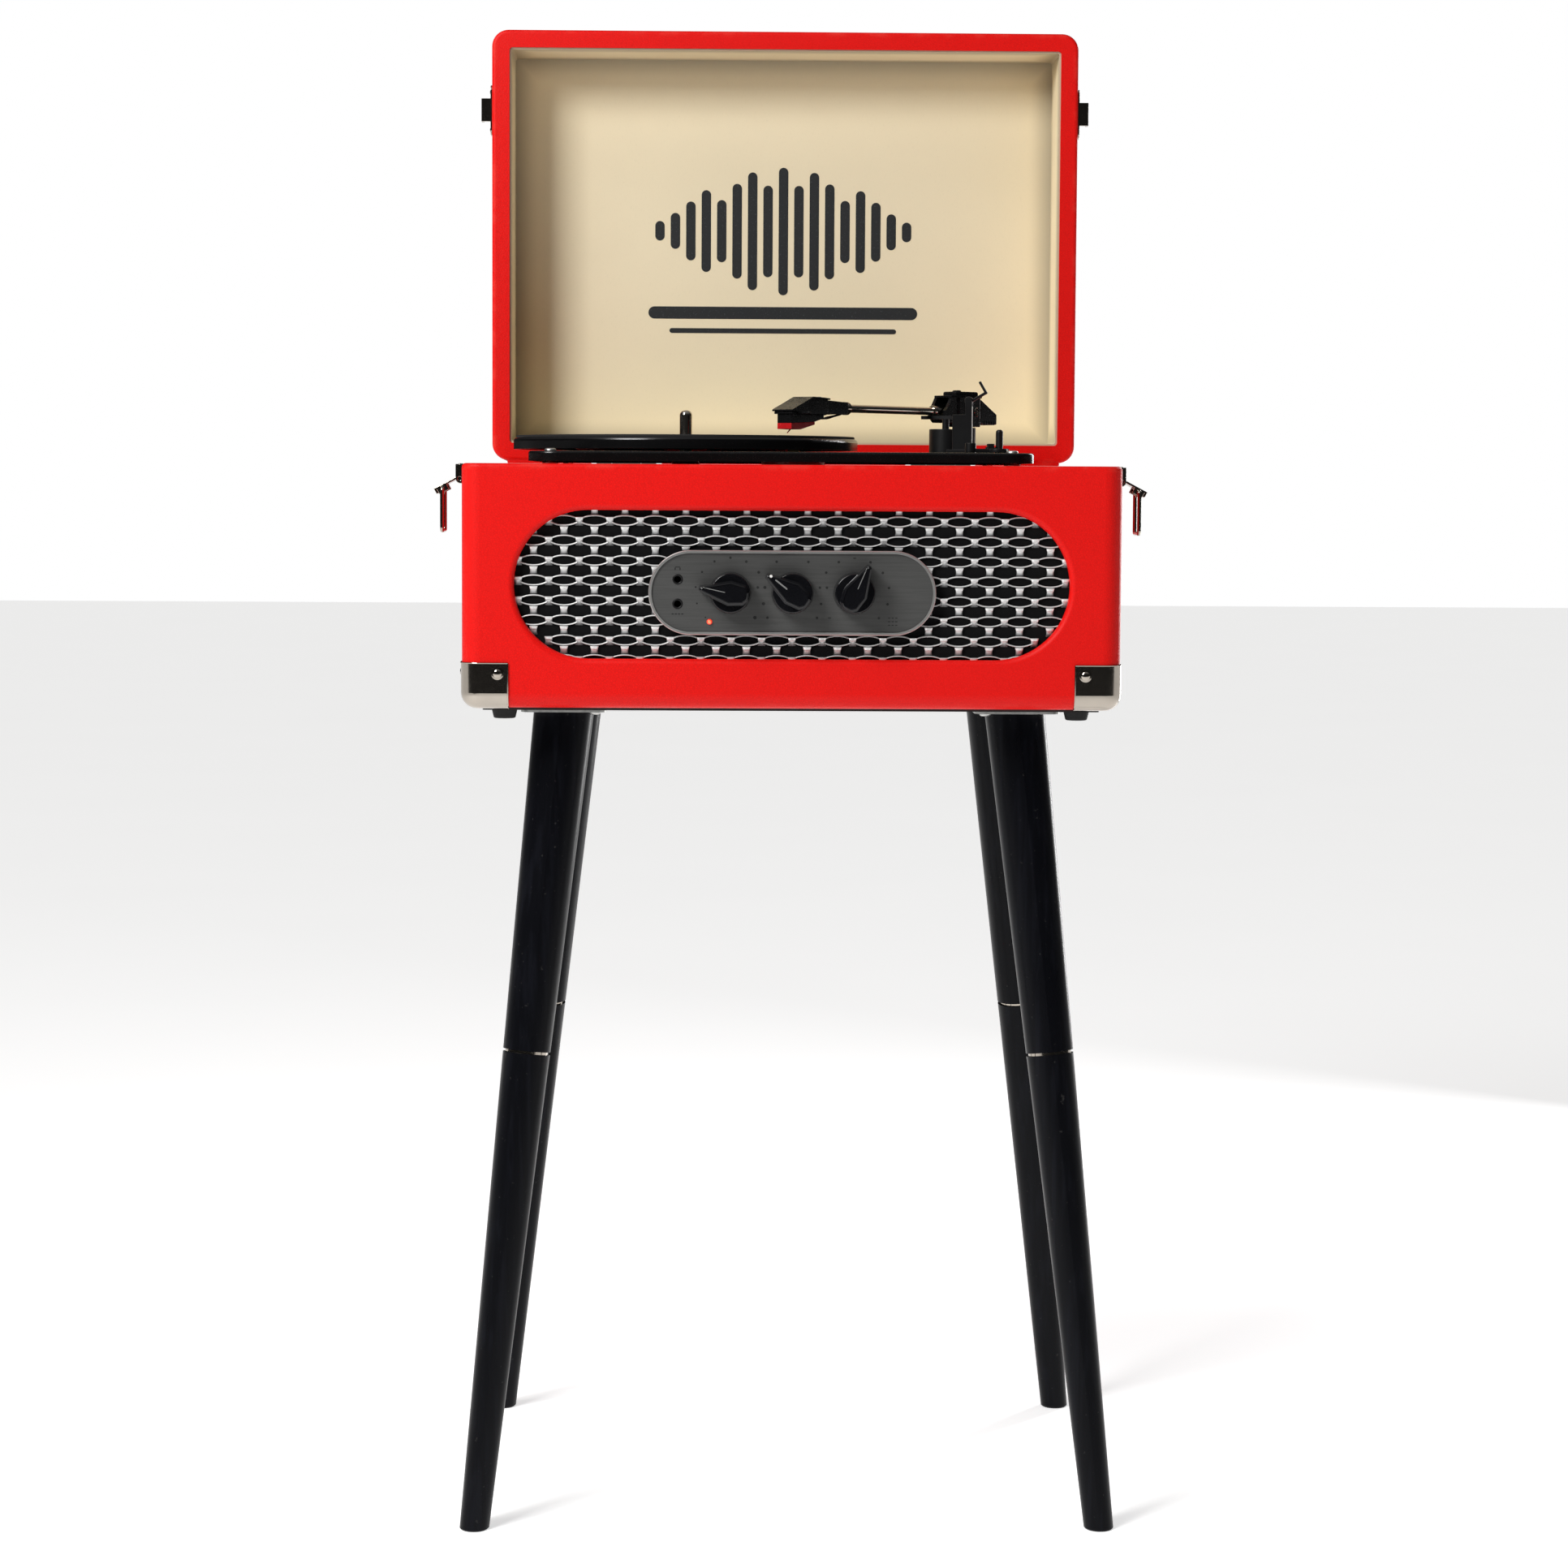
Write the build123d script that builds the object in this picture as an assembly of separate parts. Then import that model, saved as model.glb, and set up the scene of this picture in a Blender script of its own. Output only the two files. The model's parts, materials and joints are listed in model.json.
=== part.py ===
from build123d import *
from math import atan2, cos, degrees, hypot, radians, sin, tan
import os

os.makedirs("parts", exist_ok=True)

# Suitcase record player on four screwed legs, with the lid open and both latches hanging.
# Millimetres. +X is to the right seen from the front, +Y to the rear, +Z up.
# The model is laid out with the case centred on X 0, Y 0 and the floor at Z 0. The last section moves
# every node so that the origin is the middle of the underside of the whole object's box.

# ---------------------------------------------------------------- driving dimensions
# Case and lid
CASE_W = 352.0
CASE_D = 257.0
CASE_H = 130.0
LEG_RISE = 445.5  # floor to the underside of the case
BOARD = 10.5  # covered board of the case and lid walls
CORNER_R = 10.0  # upright corners
EDGE_R = 8.0  # long edges of the base and of the lid's top
RIM_R = 2.2  # rolled covering on the rims
INNER_R = 2.0  # inside corners
LID_H = 58.0
LID_TOP = 6.0
LINING = 1.0
LINING_SETBACK = 1.5  # lining edge behind the lid's rim
RIM_GAP = 0.4  # between the two rims when the lid is shut
FIT = 0.3  # clearance round a panel that drops into place

# Panels
BOTTOM_T = 5.5
BOTTOM_PROUD = 1.5  # bottom panel below the walls
DECK_T = 4.0
DECK_DROP = 3.0  # deck surface below the rim
LEDGER = 12.0  # square strip that carries a panel
LEDGER_LENGTH = 180.0

# Speaker opening and what fills it
OPENING_W = 296.0
OPENING_H = 79.0
OPENING_RISE = 66.0  # centre above the case's underside
OPENING_ROLL = 3.0  # rolled front edge
GRILLE_DEPTH = 5.5  # grille behind the front face
REBATE = 7.0  # grille edge hidden behind the wall
GRILLE_T = 1.5
GRILLE_PITCH_X = 16.0
GRILLE_PITCH_Z = 10.6
GRILLE_HOLE_A = 6.3
GRILLE_HOLE_B = 2.2
GRILLE_BORDER = 3.0
CLOTH_T = 0.5
BAFFLE_T = 4.0
BAFFLE_MARGIN = 12.0  # baffle beyond the opening
SPEAKER_X = 110.0
SPEAKER_R = 33.0  # hole in the baffle
SPEAKER_FLANGE = 5.0
SPEAKER_FLANGE_T = 2.0
BASKET_DEPTH = 20.0
MAGNET_R = 22.0
MAGNET_T = 12.0
SHEET = 1.0  # pressed sheet thickness of basket and cone

# Control plate
PLATE_W = 153.0
PLATE_H = 45.0
PLATE_RISE = 62.0  # centre above the case's underside
PLATE_DEPTH = 5.0
PLATE_WALL = 2.2
PLATE_RIM = 1.6
PLATE_RIM_H = 0.8
PLATE_CUT_W = 144.0  # hole through grille, cloth and baffle behind the plate
PLATE_CUT_H = 36.0
KNOB_PITCH = 33.0
KNOB_R = 11.3
KNOB_BASE_H = 9.0
KNOB_H = 15.0
KNOB_REACH = 17.0  # axis to pointer tip
KNOB_TIP = 1.4  # half of the pointer's width at its tip
KNOB_GAP = 1.2  # knob behind face to plate
POINTERS = {"volume_knob": -82.0, "source_knob": -56.0, "tone_knob": 28.0}
SHAFT_R = 3.0
SHAFT_CLEAR = 0.05  # running fit of every turning shaft
BUSH_R = 3.8
BUSH_HOLE = 0.15  # plate hole beyond the bush
POT_SIZE = 17.0
POT_DEPTH = 8.0
BOARD_W = 150.0
BOARD_H = 44.0
PCB_T = 1.6
STANDOFF = 4.0
STANDOFF_R = 3.0
STANDOFF_X = 70.0
STANDOFF_Z = 18.0
JACK_X = -61.0
JACK_Z = (7.0, -6.0)
JACK_HOLE_R = 2.8
JACK_BORE_R = 1.8
JACK_BODY = 8.0
LED_X = -44.0
LED_Z = -15.5
LED_R = 1.5

# Rear sockets
REAR_PLATE_W = 84.0
REAR_PLATE_H = 34.0
REAR_PLATE_T = 2.0
REAR_PLATE_X = -70.0
REAR_PLATE_RISE = 38.0
REAR_LAP = 5.0  # plate beyond its hole in the wall
RCA_R = 4.15
RCA_BODY_R = 4.9  # behind the plate's face
RCA_BORE_R = 1.6
RCA_REACH = 9.0
RCA_X = (-30.0, -14.0)
DC_X = 22.0
DC_R = 5.5
DC_BORE_R = 2.75
DC_PIN_R = 1.0
DC_REACH = 3.0
SOCKET_DEPTH = 12.0

# Feet, corner guards and screws
FOOT_INSET = 22.0
FOOT_R = 7.0
FOOT_TAPER = 1.2
FOOT_H = 5.0
GUARD_T = 0.6
GUARD_REACH = 25.0
GUARD_H = 24.0
NAIL_R = 2.2
NAIL_PROUD = 0.9
NAIL_INSET = 5.5  # nail centre inside the guard's edges
SCREW_R = 1.6
SCREW_HEAD_R = 3.2
SCREW_HEAD_H = 1.4

# Legs
LEG_INSET = 53.0  # leg centre at the underside from the case's sides
FOOT_SPREAD_X = 46.5
FOOT_SPREAD_Y = 49.5
LEG_TOP_R = 16.5
LEG_FOOT_R = 8.0
LEG_SPLIT = 0.425  # joint below the top, as a share of the leg's length
LEG_CHAMFER = 0.8
RING_T = 1.6
RING_INSET = 1.2
STUD_R = 4.0
STUD_HALF = 25.0
MOUNT_SIZE = 46.0
MOUNT_T = 2.5
MOUNT_SCREW = 17.0  # screw hole from the plate's centre

# Lid hinges
HINGE_X = 95.0
HINGE_W = 36.0
HINGE_LEAF_H = 18.0
HINGE_LEAF_T = 1.2
KNUCKLE_R = 2.4
KNUCKLE_SHARE = 9.0  # each outer knuckle
KNUCKLE_GAP = 0.4
HINGE_PIN_R = 1.2
HINGE_OUT = 2.8  # pin behind the rear face

# Latches
LATCH_BACK = 47.5  # latch centre behind the front face
LATCH_W = 20.0
LATCH_PROUD = 5.4
LATCH_H = 10.5
LATCH_T = 1.2
LATCH_PIN_OUT = 3.2
LATCH_PIN_DROP = 8.3
LATCH_PIN_R = 1.0
LEVER_W = 16.0
LEVER_LENGTH = 15.0
LEVER_T = 1.2
LEVER_ANGLE = 28.0  # below level
LEVER_GAP = 0.35
LOOP_AT = 10.7  # loop axis along the lever
LOOP_R = 1.1
LOOP_LENGTH = 24.0
LOOP_BEND = 1.6
LOOP_W = 22.0
CATCH_W = 29.5
CATCH_HOOK_W = 13.8
CATCH_H = 14.0
CATCH_T = 1.0
CATCH_PROUD = 6.5
CATCH_RISE = 2.0  # above the lid's rim

# Player mechanism
CHASSIS_LEFT = 23.5  # gaps to the case's inner faces
CHASSIS_RIGHT = 34.5
CHASSIS_FRONT = 10.0
CHASSIS_R = 16.0
CHASSIS_TOP = 7.0  # above the rim
CHASSIS_SKIRT = 5.5
CHASSIS_T = 2.5
DECK_HOLE_INSET = 24.0  # deck opening inside the chassis
DECK_HOLE_R = 12.0
SPRING_INSET = 12.0
SPRING_R = 4.0
SPRING_WIRE = 0.5
SPRING_TURNS = 3
SPRING_REST = 0.1  # spring ends off their seats
SPRING_BOSS_R = 6.0
PLATTER_R = 97.2
PLATTER_LEFT = 84.0  # spindle from the chassis's left edge
PLATTER_LOW = 8.5  # above the rim
PLATTER_H = 6.5
PLATTER_T = 3.0
PLATTER_EDGE = 2.2
DRIVE_RING_R = 62.0
DRIVE_RING_T = 2.0
PLATTER_HUB_R = 12.0
PLATTER_BUSH_R = 6.0
MAT_R = 95.5
MAT_T = 1.2
MAT_RIB = 5.0
SPINDLE_R = 3.55  # pin through the record
BEARING_R = 4.0  # shaft that the platter turns on
PIN_SHOULDER = 0.3  # top of the shaft below the mat
SPINDLE_TOP = 31.0  # above the rim
SPINDLE_FOOT = 4.0  # below the rim
SPINDLE_BOSS_R = 8.0
COLLAR_R = 6.0
COLLAR_T = 0.8
MOTOR_ANGLE = -40.0
MOTOR_CENTRES = 78.0
MOTOR_R = 17.5
MOTOR_H = 22.0
MOTOR_SHAFT_R = 1.0
MOTOR_SHAFT_DEPTH = 12.0
PULLEY_R = 2.1
PULLEY_FLANGE_R = 3.4
BELT_T = 0.7
BELT_H = 2.5
BELT_GAP = 0.06

# Tonearm
PIVOT_DX = 163.0  # from the spindle
PIVOT_DY = 62.0
ARM_LENGTH = 165.0  # pivot to stylus
ARM_HEADING = 229.6  # degrees, anticlockwise from +X seen from above
ARM_HEIGHT = 32.0  # tube centre above the rim
ARM_TUBE_R = 2.3
ARM_REST_SWING = 33.0  # from the playing position to the rest
PILLAR_R = 5.8
PILLAR_FLANGE_R = 15.0
PILLAR_FLANGE_H = 3.0
PILLAR_TOP = 23.0  # above the rim
YOKE_W = 15.0
YOKE_WALL = 2.5
YOKE_FRONT = 17.0
YOKE_BACK = 5.0
YOKE_TOP = 40.5  # above the rim
YOKE_FLOOR = 2.6
TRUNNION_R = 1.5
TRUNNION_REACH = 2.2
HUB_R = 4.2
COLLAR_FRONT = 31.0
COLLAR_TIP_R = 3.0
WEIGHT_BACK = 22.0
WEIGHT_W = 13.0
WEIGHT_H = 14.0
HEAD_W = 13.0
HEAD_FRONT = 3.5  # ahead of the stylus
HEAD_BACK = 28.0
HEAD_UP = 4.9
HEAD_DOWN = 4.0
NECK_BACK = 49.0
NECK_W = 8.0
CARTRIDGE_W = 10.0
CARTRIDGE_DOWN = 10.0
STYLUS_DROP = 14.4  # tube centre to tip
STYLUS_BODY = 3.2
CUE_RADIUS = 34.0
CUE_HOUSING_R = 9.5
CUE_HOUSING_TOP = 21.6  # above the rim
CUE_ROD_R = 2.0
CUE_SPAN = 52.0  # degrees of the lift bar
CUE_BAR_W = 4.0
CUE_BAR_T = 2.0
CUE_GAP = 0.35
CUE_LIFT = 2.0  # degrees that the cueing lever raises the arm
CUE_LEVER_DX = 18.0  # from the arm's pivot
CUE_LEVER_DY = -22.0
CUE_LEVER_R = 2.1
CUE_LEVER_TOP = 21.7  # above the rim
CUE_LEVER_PIVOT = 10.0  # above the rim
CUE_SHAFT_R = 1.6
REST_RADIUS = 70.0
REST_W = 12.0
REST_L = 8.0
REST_GAP = 0.4
CLIP_T = 1.4
CLIP_L = 6.0
CLIP_PIN_R = 1.0
CLIP_GAP = 0.3  # clip's pin above the parked tube when it is raised
CLIP_OPEN = 150.0  # degrees that the clip stands folded out

# Small controls on the chassis
SPEED_X = 19.0  # from the chassis's right edge
SPEED_Y = 20.0  # from the chassis's front edge
SPEED_ARM = 15.0
SPEED_STUD_R = 2.0
STOP_X = 11.0  # from the chassis's right edge
STOP_Y = 78.0  # from the chassis's front edge
STOP_TRAVEL = 6.0
STOP_W = 5.0
STOP_L = 8.0

# ---------------------------------------------------------------- places worked out from them
UNDER_Z = LEG_RISE
RIM_Z = UNDER_Z + CASE_H
FRONT_Y = -CASE_D / 2
REAR_Y = CASE_D / 2
SIDE_X = CASE_W / 2
INNER_X = SIDE_X - BOARD
INNER_Y = CASE_D / 2 - BOARD
PANEL_Z = UNDER_Z - BOTTOM_PROUD
DECK_Z = RIM_Z - DECK_DROP
OPENING_Z = UNDER_Z + OPENING_RISE
PLATE_Z = UNDER_Z + PLATE_RISE
GRILLE_Y = FRONT_Y + GRILLE_DEPTH
CLOTH_Y = GRILLE_Y + GRILLE_T
LAND_Y = CLOTH_Y + CLOTH_T
WALL_BACK_Y = FRONT_Y + BOARD
BAFFLE_BACK_Y = WALL_BACK_Y + BAFFLE_T
PCB_Y = BAFFLE_BACK_Y + STANDOFF
PLATE_RIM_Y = GRILLE_Y - PLATE_DEPTH
PLATE_FACE_Y = PLATE_RIM_Y + PLATE_RIM_H
HINGE_Y = REAR_Y + HINGE_OUT
HINGE_Z = RIM_Z + RIM_GAP / 2
LATCH_Y = FRONT_Y + LATCH_BACK
CHASSIS_X0 = -INNER_X + CHASSIS_LEFT
CHASSIS_X1 = INNER_X - CHASSIS_RIGHT
CHASSIS_Y = INNER_Y - CHASSIS_FRONT
CHASSIS_Z1 = RIM_Z + CHASSIS_TOP
CHASSIS_Z0 = CHASSIS_Z1 - CHASSIS_SKIRT
PLATE_UNDER_Z = CHASSIS_Z1 - CHASSIS_T
SPINDLE_X = CHASSIS_X0 + PLATTER_LEFT
PLATTER_Z0 = RIM_Z + PLATTER_LOW
PLATTER_Z1 = PLATTER_Z0 + PLATTER_H
MOTOR_X = SPINDLE_X + MOTOR_CENTRES * cos(radians(MOTOR_ANGLE))
MOTOR_Y = MOTOR_CENTRES * sin(radians(MOTOR_ANGLE))
PIVOT_X = SPINDLE_X + PIVOT_DX
PIVOT_Y = PIVOT_DY
ARM_Z = RIM_Z + ARM_HEIGHT
REST_HEADING = ARM_HEADING + ARM_REST_SWING
CUE_HEADING = ARM_HEADING + ARM_REST_SWING / 2
SPRING_POINTS = [
    (x, y)
    for x in (CHASSIS_X0 + SPRING_INSET, CHASSIS_X1 - SPRING_INSET)
    for y in (-CHASSIS_Y + SPRING_INSET, CHASSIS_Y - SPRING_INSET)
]
CORNERS = [(sx, sy) for sx in (-1, 1) for sy in (-1, 1)]
nodes = {}


# ---------------------------------------------------------------- shape helpers
def block(x, y, z):
    """Box between three pairs of limits."""
    middle = [(low + high) / 2 for low, high in (x, y, z)]
    size = [high - low for low, high in (x, y, z)]
    return Pos(*middle) * Box(*size)


def upright(x, y, z, radius):
    """Box with rounded upright edges."""
    return fillet(block(x, y, z).edges().filter_by(Axis.Z), radius)


def disc(x, y, z0, z1, radius):
    """Upright cylinder."""
    return Pos(x, y, (z0 + z1) / 2) * Cylinder(radius, z1 - z0)


def barrel_y(x, z, y0, y1, radius):
    """Cylinder that lies along Y."""
    return Pos(x, (y0 + y1) / 2, z) * Rot(90, 0, 0) * Cylinder(radius, y1 - y0)


def barrel_x(y, z, x0, x1, radius):
    """Cylinder that lies along X."""
    return Pos((x0 + x1) / 2, y, z) * Rot(0, 90, 0) * Cylinder(radius, x1 - x0)


def stadium(width, height, y0, y1, z):
    """Slot-shaped slab in the front's plane, between two depths."""
    face = Plane(origin=(0, y1, z), x_dir=(1, 0, 0), z_dir=(0, -1, 0)) * SlotOverall(width, height)
    return extrude(face, y1 - y0)


def prism_y(points, y0, y1):
    """Outline of (x, z) points, drawn out along Y."""
    face = make_face(Polyline([(x, y0, z) for x, z in points], close=True))
    return extrude(face, y1 - y0, dir=(0, 1, 0))


def both_sides(shape):
    """A shape on the right and its mirror image on the left."""
    return [shape, mirror(shape, about=Plane.YZ)]


def lone(shapes):
    """One compound of all the separate solids."""
    return Compound([solid for shape in shapes for solid in shape.solids()])


def arm_place(heading, height=ARM_Z):
    """Frame at the arm's pivot: its X runs along the arm, its Z is up."""
    return Location(Plane(
        origin=(PIVOT_X, PIVOT_Y, height),
        x_dir=(cos(radians(heading)), sin(radians(heading)), 0),
        z_dir=(0, 0, 1),
    ))


# ---------------------------------------------------------------- case
def case_outside(extra=0.0):
    """Outer form of the base, grown all round by extra."""
    form = block(
        (-SIDE_X - extra, SIDE_X + extra),
        (FRONT_Y - extra, REAR_Y + extra),
        (UNDER_Z - extra, RIM_Z),
    )
    form = fillet(form.edges().filter_by(Axis.Z), CORNER_R + extra)
    return fillet(form.faces().sort_by(Axis.Z)[0].edges(), EDGE_R + extra)


def ledgers(z0):
    """Strips along the side walls that carry a panel."""
    reach = min(LEDGER_LENGTH / 2, INNER_Y - LEDGER)
    strip = block((INNER_X - LEDGER, INNER_X + 1), (-reach, reach), (z0, z0 + LEDGER))
    return both_sides(strip)


def case_body():
    body = case_outside()
    body = fillet(body.faces().sort_by(Axis.Z)[-1].edges(), RIM_R)
    cavity = upright(
        (-INNER_X, INNER_X), (-INNER_Y, INNER_Y), (UNDER_Z - 5, RIM_Z + 5), INNER_R
    )
    body -= cavity
    body -= stadium(OPENING_W, OPENING_H, FRONT_Y - 5, WALL_BACK_Y + 1, OPENING_Z)
    roll = [
        edge
        for edge in body.edges().filter_by_position(Axis.Y, FRONT_Y - 0.01, FRONT_Y + 0.01)
        if abs(edge.center().Z - OPENING_Z) < OPENING_H / 2 + 1
        and abs(edge.center().X) < OPENING_W / 2 + 1
    ]
    body = fillet(roll, OPENING_ROLL)
    body -= stadium(
        OPENING_W + 2 * REBATE, OPENING_H + 2 * REBATE, GRILLE_Y, WALL_BACK_Y + 1, OPENING_Z
    )
    for strip in ledgers(DECK_Z - DECK_T - LEDGER) + ledgers(PANEL_Z + BOTTOM_T):
        body += strip
    body -= rear_window()
    for x, y in bottom_screw_points():
        body -= disc(x, y, PANEL_Z, PANEL_Z + BOTTOM_T + LEDGER - 2, SCREW_R)
    for sx, sy in CORNERS:
        for nail in nails(sx, sy, UNDER_Z + GUARD_H - NAIL_INSET):
            body -= nail
    return body


def rear_window():
    """Hole in the rear wall behind the socket plate."""
    half = REAR_PLATE_W / 2 - REAR_LAP
    rise = REAR_PLATE_H / 2 - REAR_LAP
    z = UNDER_Z + REAR_PLATE_RISE
    return block(
        (REAR_PLATE_X - half, REAR_PLATE_X + half),
        (INNER_Y - 1, REAR_Y + 1),
        (z - rise, z + rise),
    )


def bottom_screw_points():
    reach = min(LEDGER_LENGTH / 2, INNER_Y - LEDGER) - LEDGER
    return [(sx * (INNER_X - LEDGER / 2), y) for sx in (-1, 1) for y in (-reach, 0, reach)]


def bottom_panel():
    panel = upright(
        (-INNER_X + FIT, INNER_X - FIT),
        (-INNER_Y + FIT, INNER_Y - FIT),
        (PANEL_Z, PANEL_Z + BOTTOM_T),
        INNER_R,
    )
    for x, y in bottom_screw_points():
        panel -= disc(x, y, PANEL_Z - 1, PANEL_Z + BOTTOM_T + 1, SCREW_R)
    for sx, sy in CORNERS:
        panel -= leg_rod(sx, sy, STUD_R, PANEL_Z - 5, PANEL_Z + BOTTOM_T + 5)
    for x, y in mount_screw_points():
        panel -= disc(x, y, PANEL_Z - 1, PANEL_Z + BOTTOM_T + 1, SCREW_R)
    return panel


def deck_panel():
    panel = upright(
        (-INNER_X + FIT, INNER_X - FIT),
        (-INNER_Y + FIT, INNER_Y - FIT),
        (DECK_Z - DECK_T, DECK_Z),
        INNER_R,
    )
    panel -= upright(
        (CHASSIS_X0 + DECK_HOLE_INSET, CHASSIS_X1 - DECK_HOLE_INSET),
        (-CHASSIS_Y + DECK_HOLE_INSET, CHASSIS_Y - DECK_HOLE_INSET),
        (DECK_Z - DECK_T - 1, DECK_Z + 1),
        DECK_HOLE_R,
    )
    for x, y in SPRING_POINTS:
        panel -= disc(x, y, DECK_Z - DECK_T - 1, DECK_Z + 1, SCREW_R)
    return panel


# ---------------------------------------------------------------- speaker opening
def grille_outline(y0, y1, gap):
    """Slab that fills the rebate behind the front wall."""
    return stadium(
        OPENING_W + 2 * REBATE - 2 * gap, OPENING_H + 2 * REBATE - 2 * gap, y0, y1, OPENING_Z
    )


def plate_cut(y0, y1):
    """Way through for the controls, behind the control plate."""
    return stadium(PLATE_CUT_W, PLATE_CUT_H, y0, y1, PLATE_Z)


def grille_mesh():
    width = OPENING_W + 2 * REBATE - 2 * FIT
    height = OPENING_H + 2 * REBATE - 2 * FIT
    outer = SlotOverall(width, height).face().outer_wire()
    drop = PLATE_Z - OPENING_Z
    holes = [Pos(0, drop) * SlotOverall(PLATE_CUT_W, PLATE_CUT_H).face().outer_wire()]
    rows = int(OPENING_H / GRILLE_PITCH_Z) + 1
    columns = int(OPENING_W / GRILLE_PITCH_X / 2) + 1
    for row in range(-rows, rows + 1):
        z = row * GRILLE_PITCH_Z / 2
        for column in range(-columns, columns + 1):
            x = (column + (row % 2) / 2) * GRILLE_PITCH_X
            end = max(abs(x) + GRILLE_HOLE_A - (OPENING_W - OPENING_H) / 2, 0)
            inside = hypot(end, abs(z) + GRILLE_HOLE_B) < OPENING_H / 2 + REBATE - GRILLE_BORDER
            plate_end = max(abs(x) - GRILLE_HOLE_A - (PLATE_CUT_W - PLATE_CUT_H) / 2, 0)
            near = hypot(plate_end, max(abs(z - drop) - GRILLE_HOLE_B, 0))
            if inside and near > PLATE_CUT_H / 2 + GRILLE_BORDER / 2:
                holes.append(Pos(x, z) * Ellipse(GRILLE_HOLE_A, GRILLE_HOLE_B).face().outer_wire())
    face = Face(outer, holes)
    plane = Plane(origin=(0, CLOTH_Y, OPENING_Z), x_dir=(1, 0, 0), z_dir=(0, -1, 0))
    return extrude(plane * face, GRILLE_T)


def grille_cloth():
    return grille_outline(CLOTH_Y, LAND_Y, FIT) - plate_cut(CLOTH_Y - 1, LAND_Y + 1)


def speaker_baffle():
    half = OPENING_W / 2 + BAFFLE_MARGIN
    rise = OPENING_H / 2 + BAFFLE_MARGIN
    board = block(
        (-half, half), (WALL_BACK_Y, BAFFLE_BACK_Y), (OPENING_Z - rise, OPENING_Z + rise)
    )
    board += grille_outline(LAND_Y, WALL_BACK_Y, FIT)
    for sx in (-1, 1):
        board -= barrel_y(sx * SPEAKER_X, OPENING_Z, LAND_Y - 1, BAFFLE_BACK_Y + 1, SPEAKER_R)
    board -= plate_cut(LAND_Y - 1, BAFFLE_BACK_Y + 1)
    for sx, sz in CORNERS:
        x = sx * STANDOFF_X
        z = PLATE_Z + sz * STANDOFF_Z
        board += barrel_y(x, z, BAFFLE_BACK_Y - 1, PCB_Y, STANDOFF_R)
    return board


def speakers():
    units = []
    for sx in (-1, 1):
        seat = Pos(sx * SPEAKER_X, BAFFLE_BACK_Y, OPENING_Z) * Rot(-90, 0, 0)
        flange_r = SPEAKER_R + SPEAKER_FLANGE
        back = SPEAKER_FLANGE_T + BASKET_DEPTH
        basket_line = Polyline(
            (SPEAKER_R - 2, 0),
            (flange_r, 0),
            (flange_r, SPEAKER_FLANGE_T),
            (SPEAKER_R - 1, SPEAKER_FLANGE_T),
            (MAGNET_R - 2, back),
            (MAGNET_R, back),
            (MAGNET_R, back + MAGNET_T),
            (0, back + MAGNET_T),
            (0, back - 2),
            (MAGNET_R - 2 - SHEET, back - 2),
            (SPEAKER_R - 2, SPEAKER_FLANGE_T),
            close=True,
        )
        basket = revolve(Plane.XZ * make_face(basket_line), Axis.Z)
        cone_line = Polyline(
            (SPEAKER_R - 3, 1),
            (SPEAKER_R - 3, 1 + SHEET),
            (9, back - 5),
            (0, back - 5),
            (0, back - 6 - SHEET),
            (8, back - 6 - SHEET),
            (SPEAKER_R - 4, 1),
            close=True,
        )
        cone = revolve(Plane.XZ * make_face(cone_line), Axis.Z)
        units += [seat * basket, seat * cone]
    return lone(units)


# ---------------------------------------------------------------- controls
def control_plate():
    pan = stadium(PLATE_W, PLATE_H, PLATE_RIM_Y, GRILLE_Y, PLATE_Z)
    pan = chamfer(pan.faces().sort_by(Axis.Y)[0].edges(), PLATE_RIM_H / 2)
    pan -= stadium(
        PLATE_W - 2 * PLATE_RIM, PLATE_H - 2 * PLATE_RIM, PLATE_RIM_Y - 1, PLATE_FACE_Y, PLATE_Z
    )
    pan -= stadium(
        PLATE_W - 2 * PLATE_RIM,
        PLATE_H - 2 * PLATE_RIM,
        PLATE_FACE_Y + PLATE_WALL,
        GRILLE_Y + 1,
        PLATE_Z,
    )
    for x in (-KNOB_PITCH, 0, KNOB_PITCH):
        pan -= barrel_y(x, PLATE_Z, PLATE_RIM_Y, GRILLE_Y, BUSH_R + BUSH_HOLE)
    for z in JACK_Z:
        pan -= barrel_y(JACK_X, PLATE_Z + z, PLATE_RIM_Y, GRILLE_Y, JACK_HOLE_R)
    pan -= barrel_y(LED_X, PLATE_Z + LED_Z, PLATE_RIM_Y, GRILLE_Y, LED_R)
    return pan


def headphone_jacks():
    jacks = []
    half = JACK_BODY / 2
    for drop in JACK_Z:
        z = PLATE_Z + drop
        nose = barrel_y(JACK_X, z, PLATE_FACE_Y, PLATE_FACE_Y + PLATE_WALL + 1, JACK_HOLE_R)
        body = block(
            (JACK_X - half, JACK_X + half),
            (PLATE_FACE_Y + PLATE_WALL, PCB_Y),
            (z - half, z + half),
        )
        jacks.append(nose + body - barrel_y(JACK_X, z, PLATE_FACE_Y - 1, PCB_Y - 2, JACK_BORE_R))
    return lone(jacks)


def led_lens():
    z = PLATE_Z + LED_Z
    lens = barrel_y(LED_X, z, PLATE_FACE_Y, PLATE_FACE_Y + PLATE_WALL, LED_R)
    lens += Pos(LED_X, PLATE_FACE_Y, z) * Sphere(LED_R)
    lens += barrel_y(LED_X, z, PLATE_FACE_Y + PLATE_WALL, PLATE_FACE_Y + PLATE_WALL + 3, LED_R + 0.5)
    return lens


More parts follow.
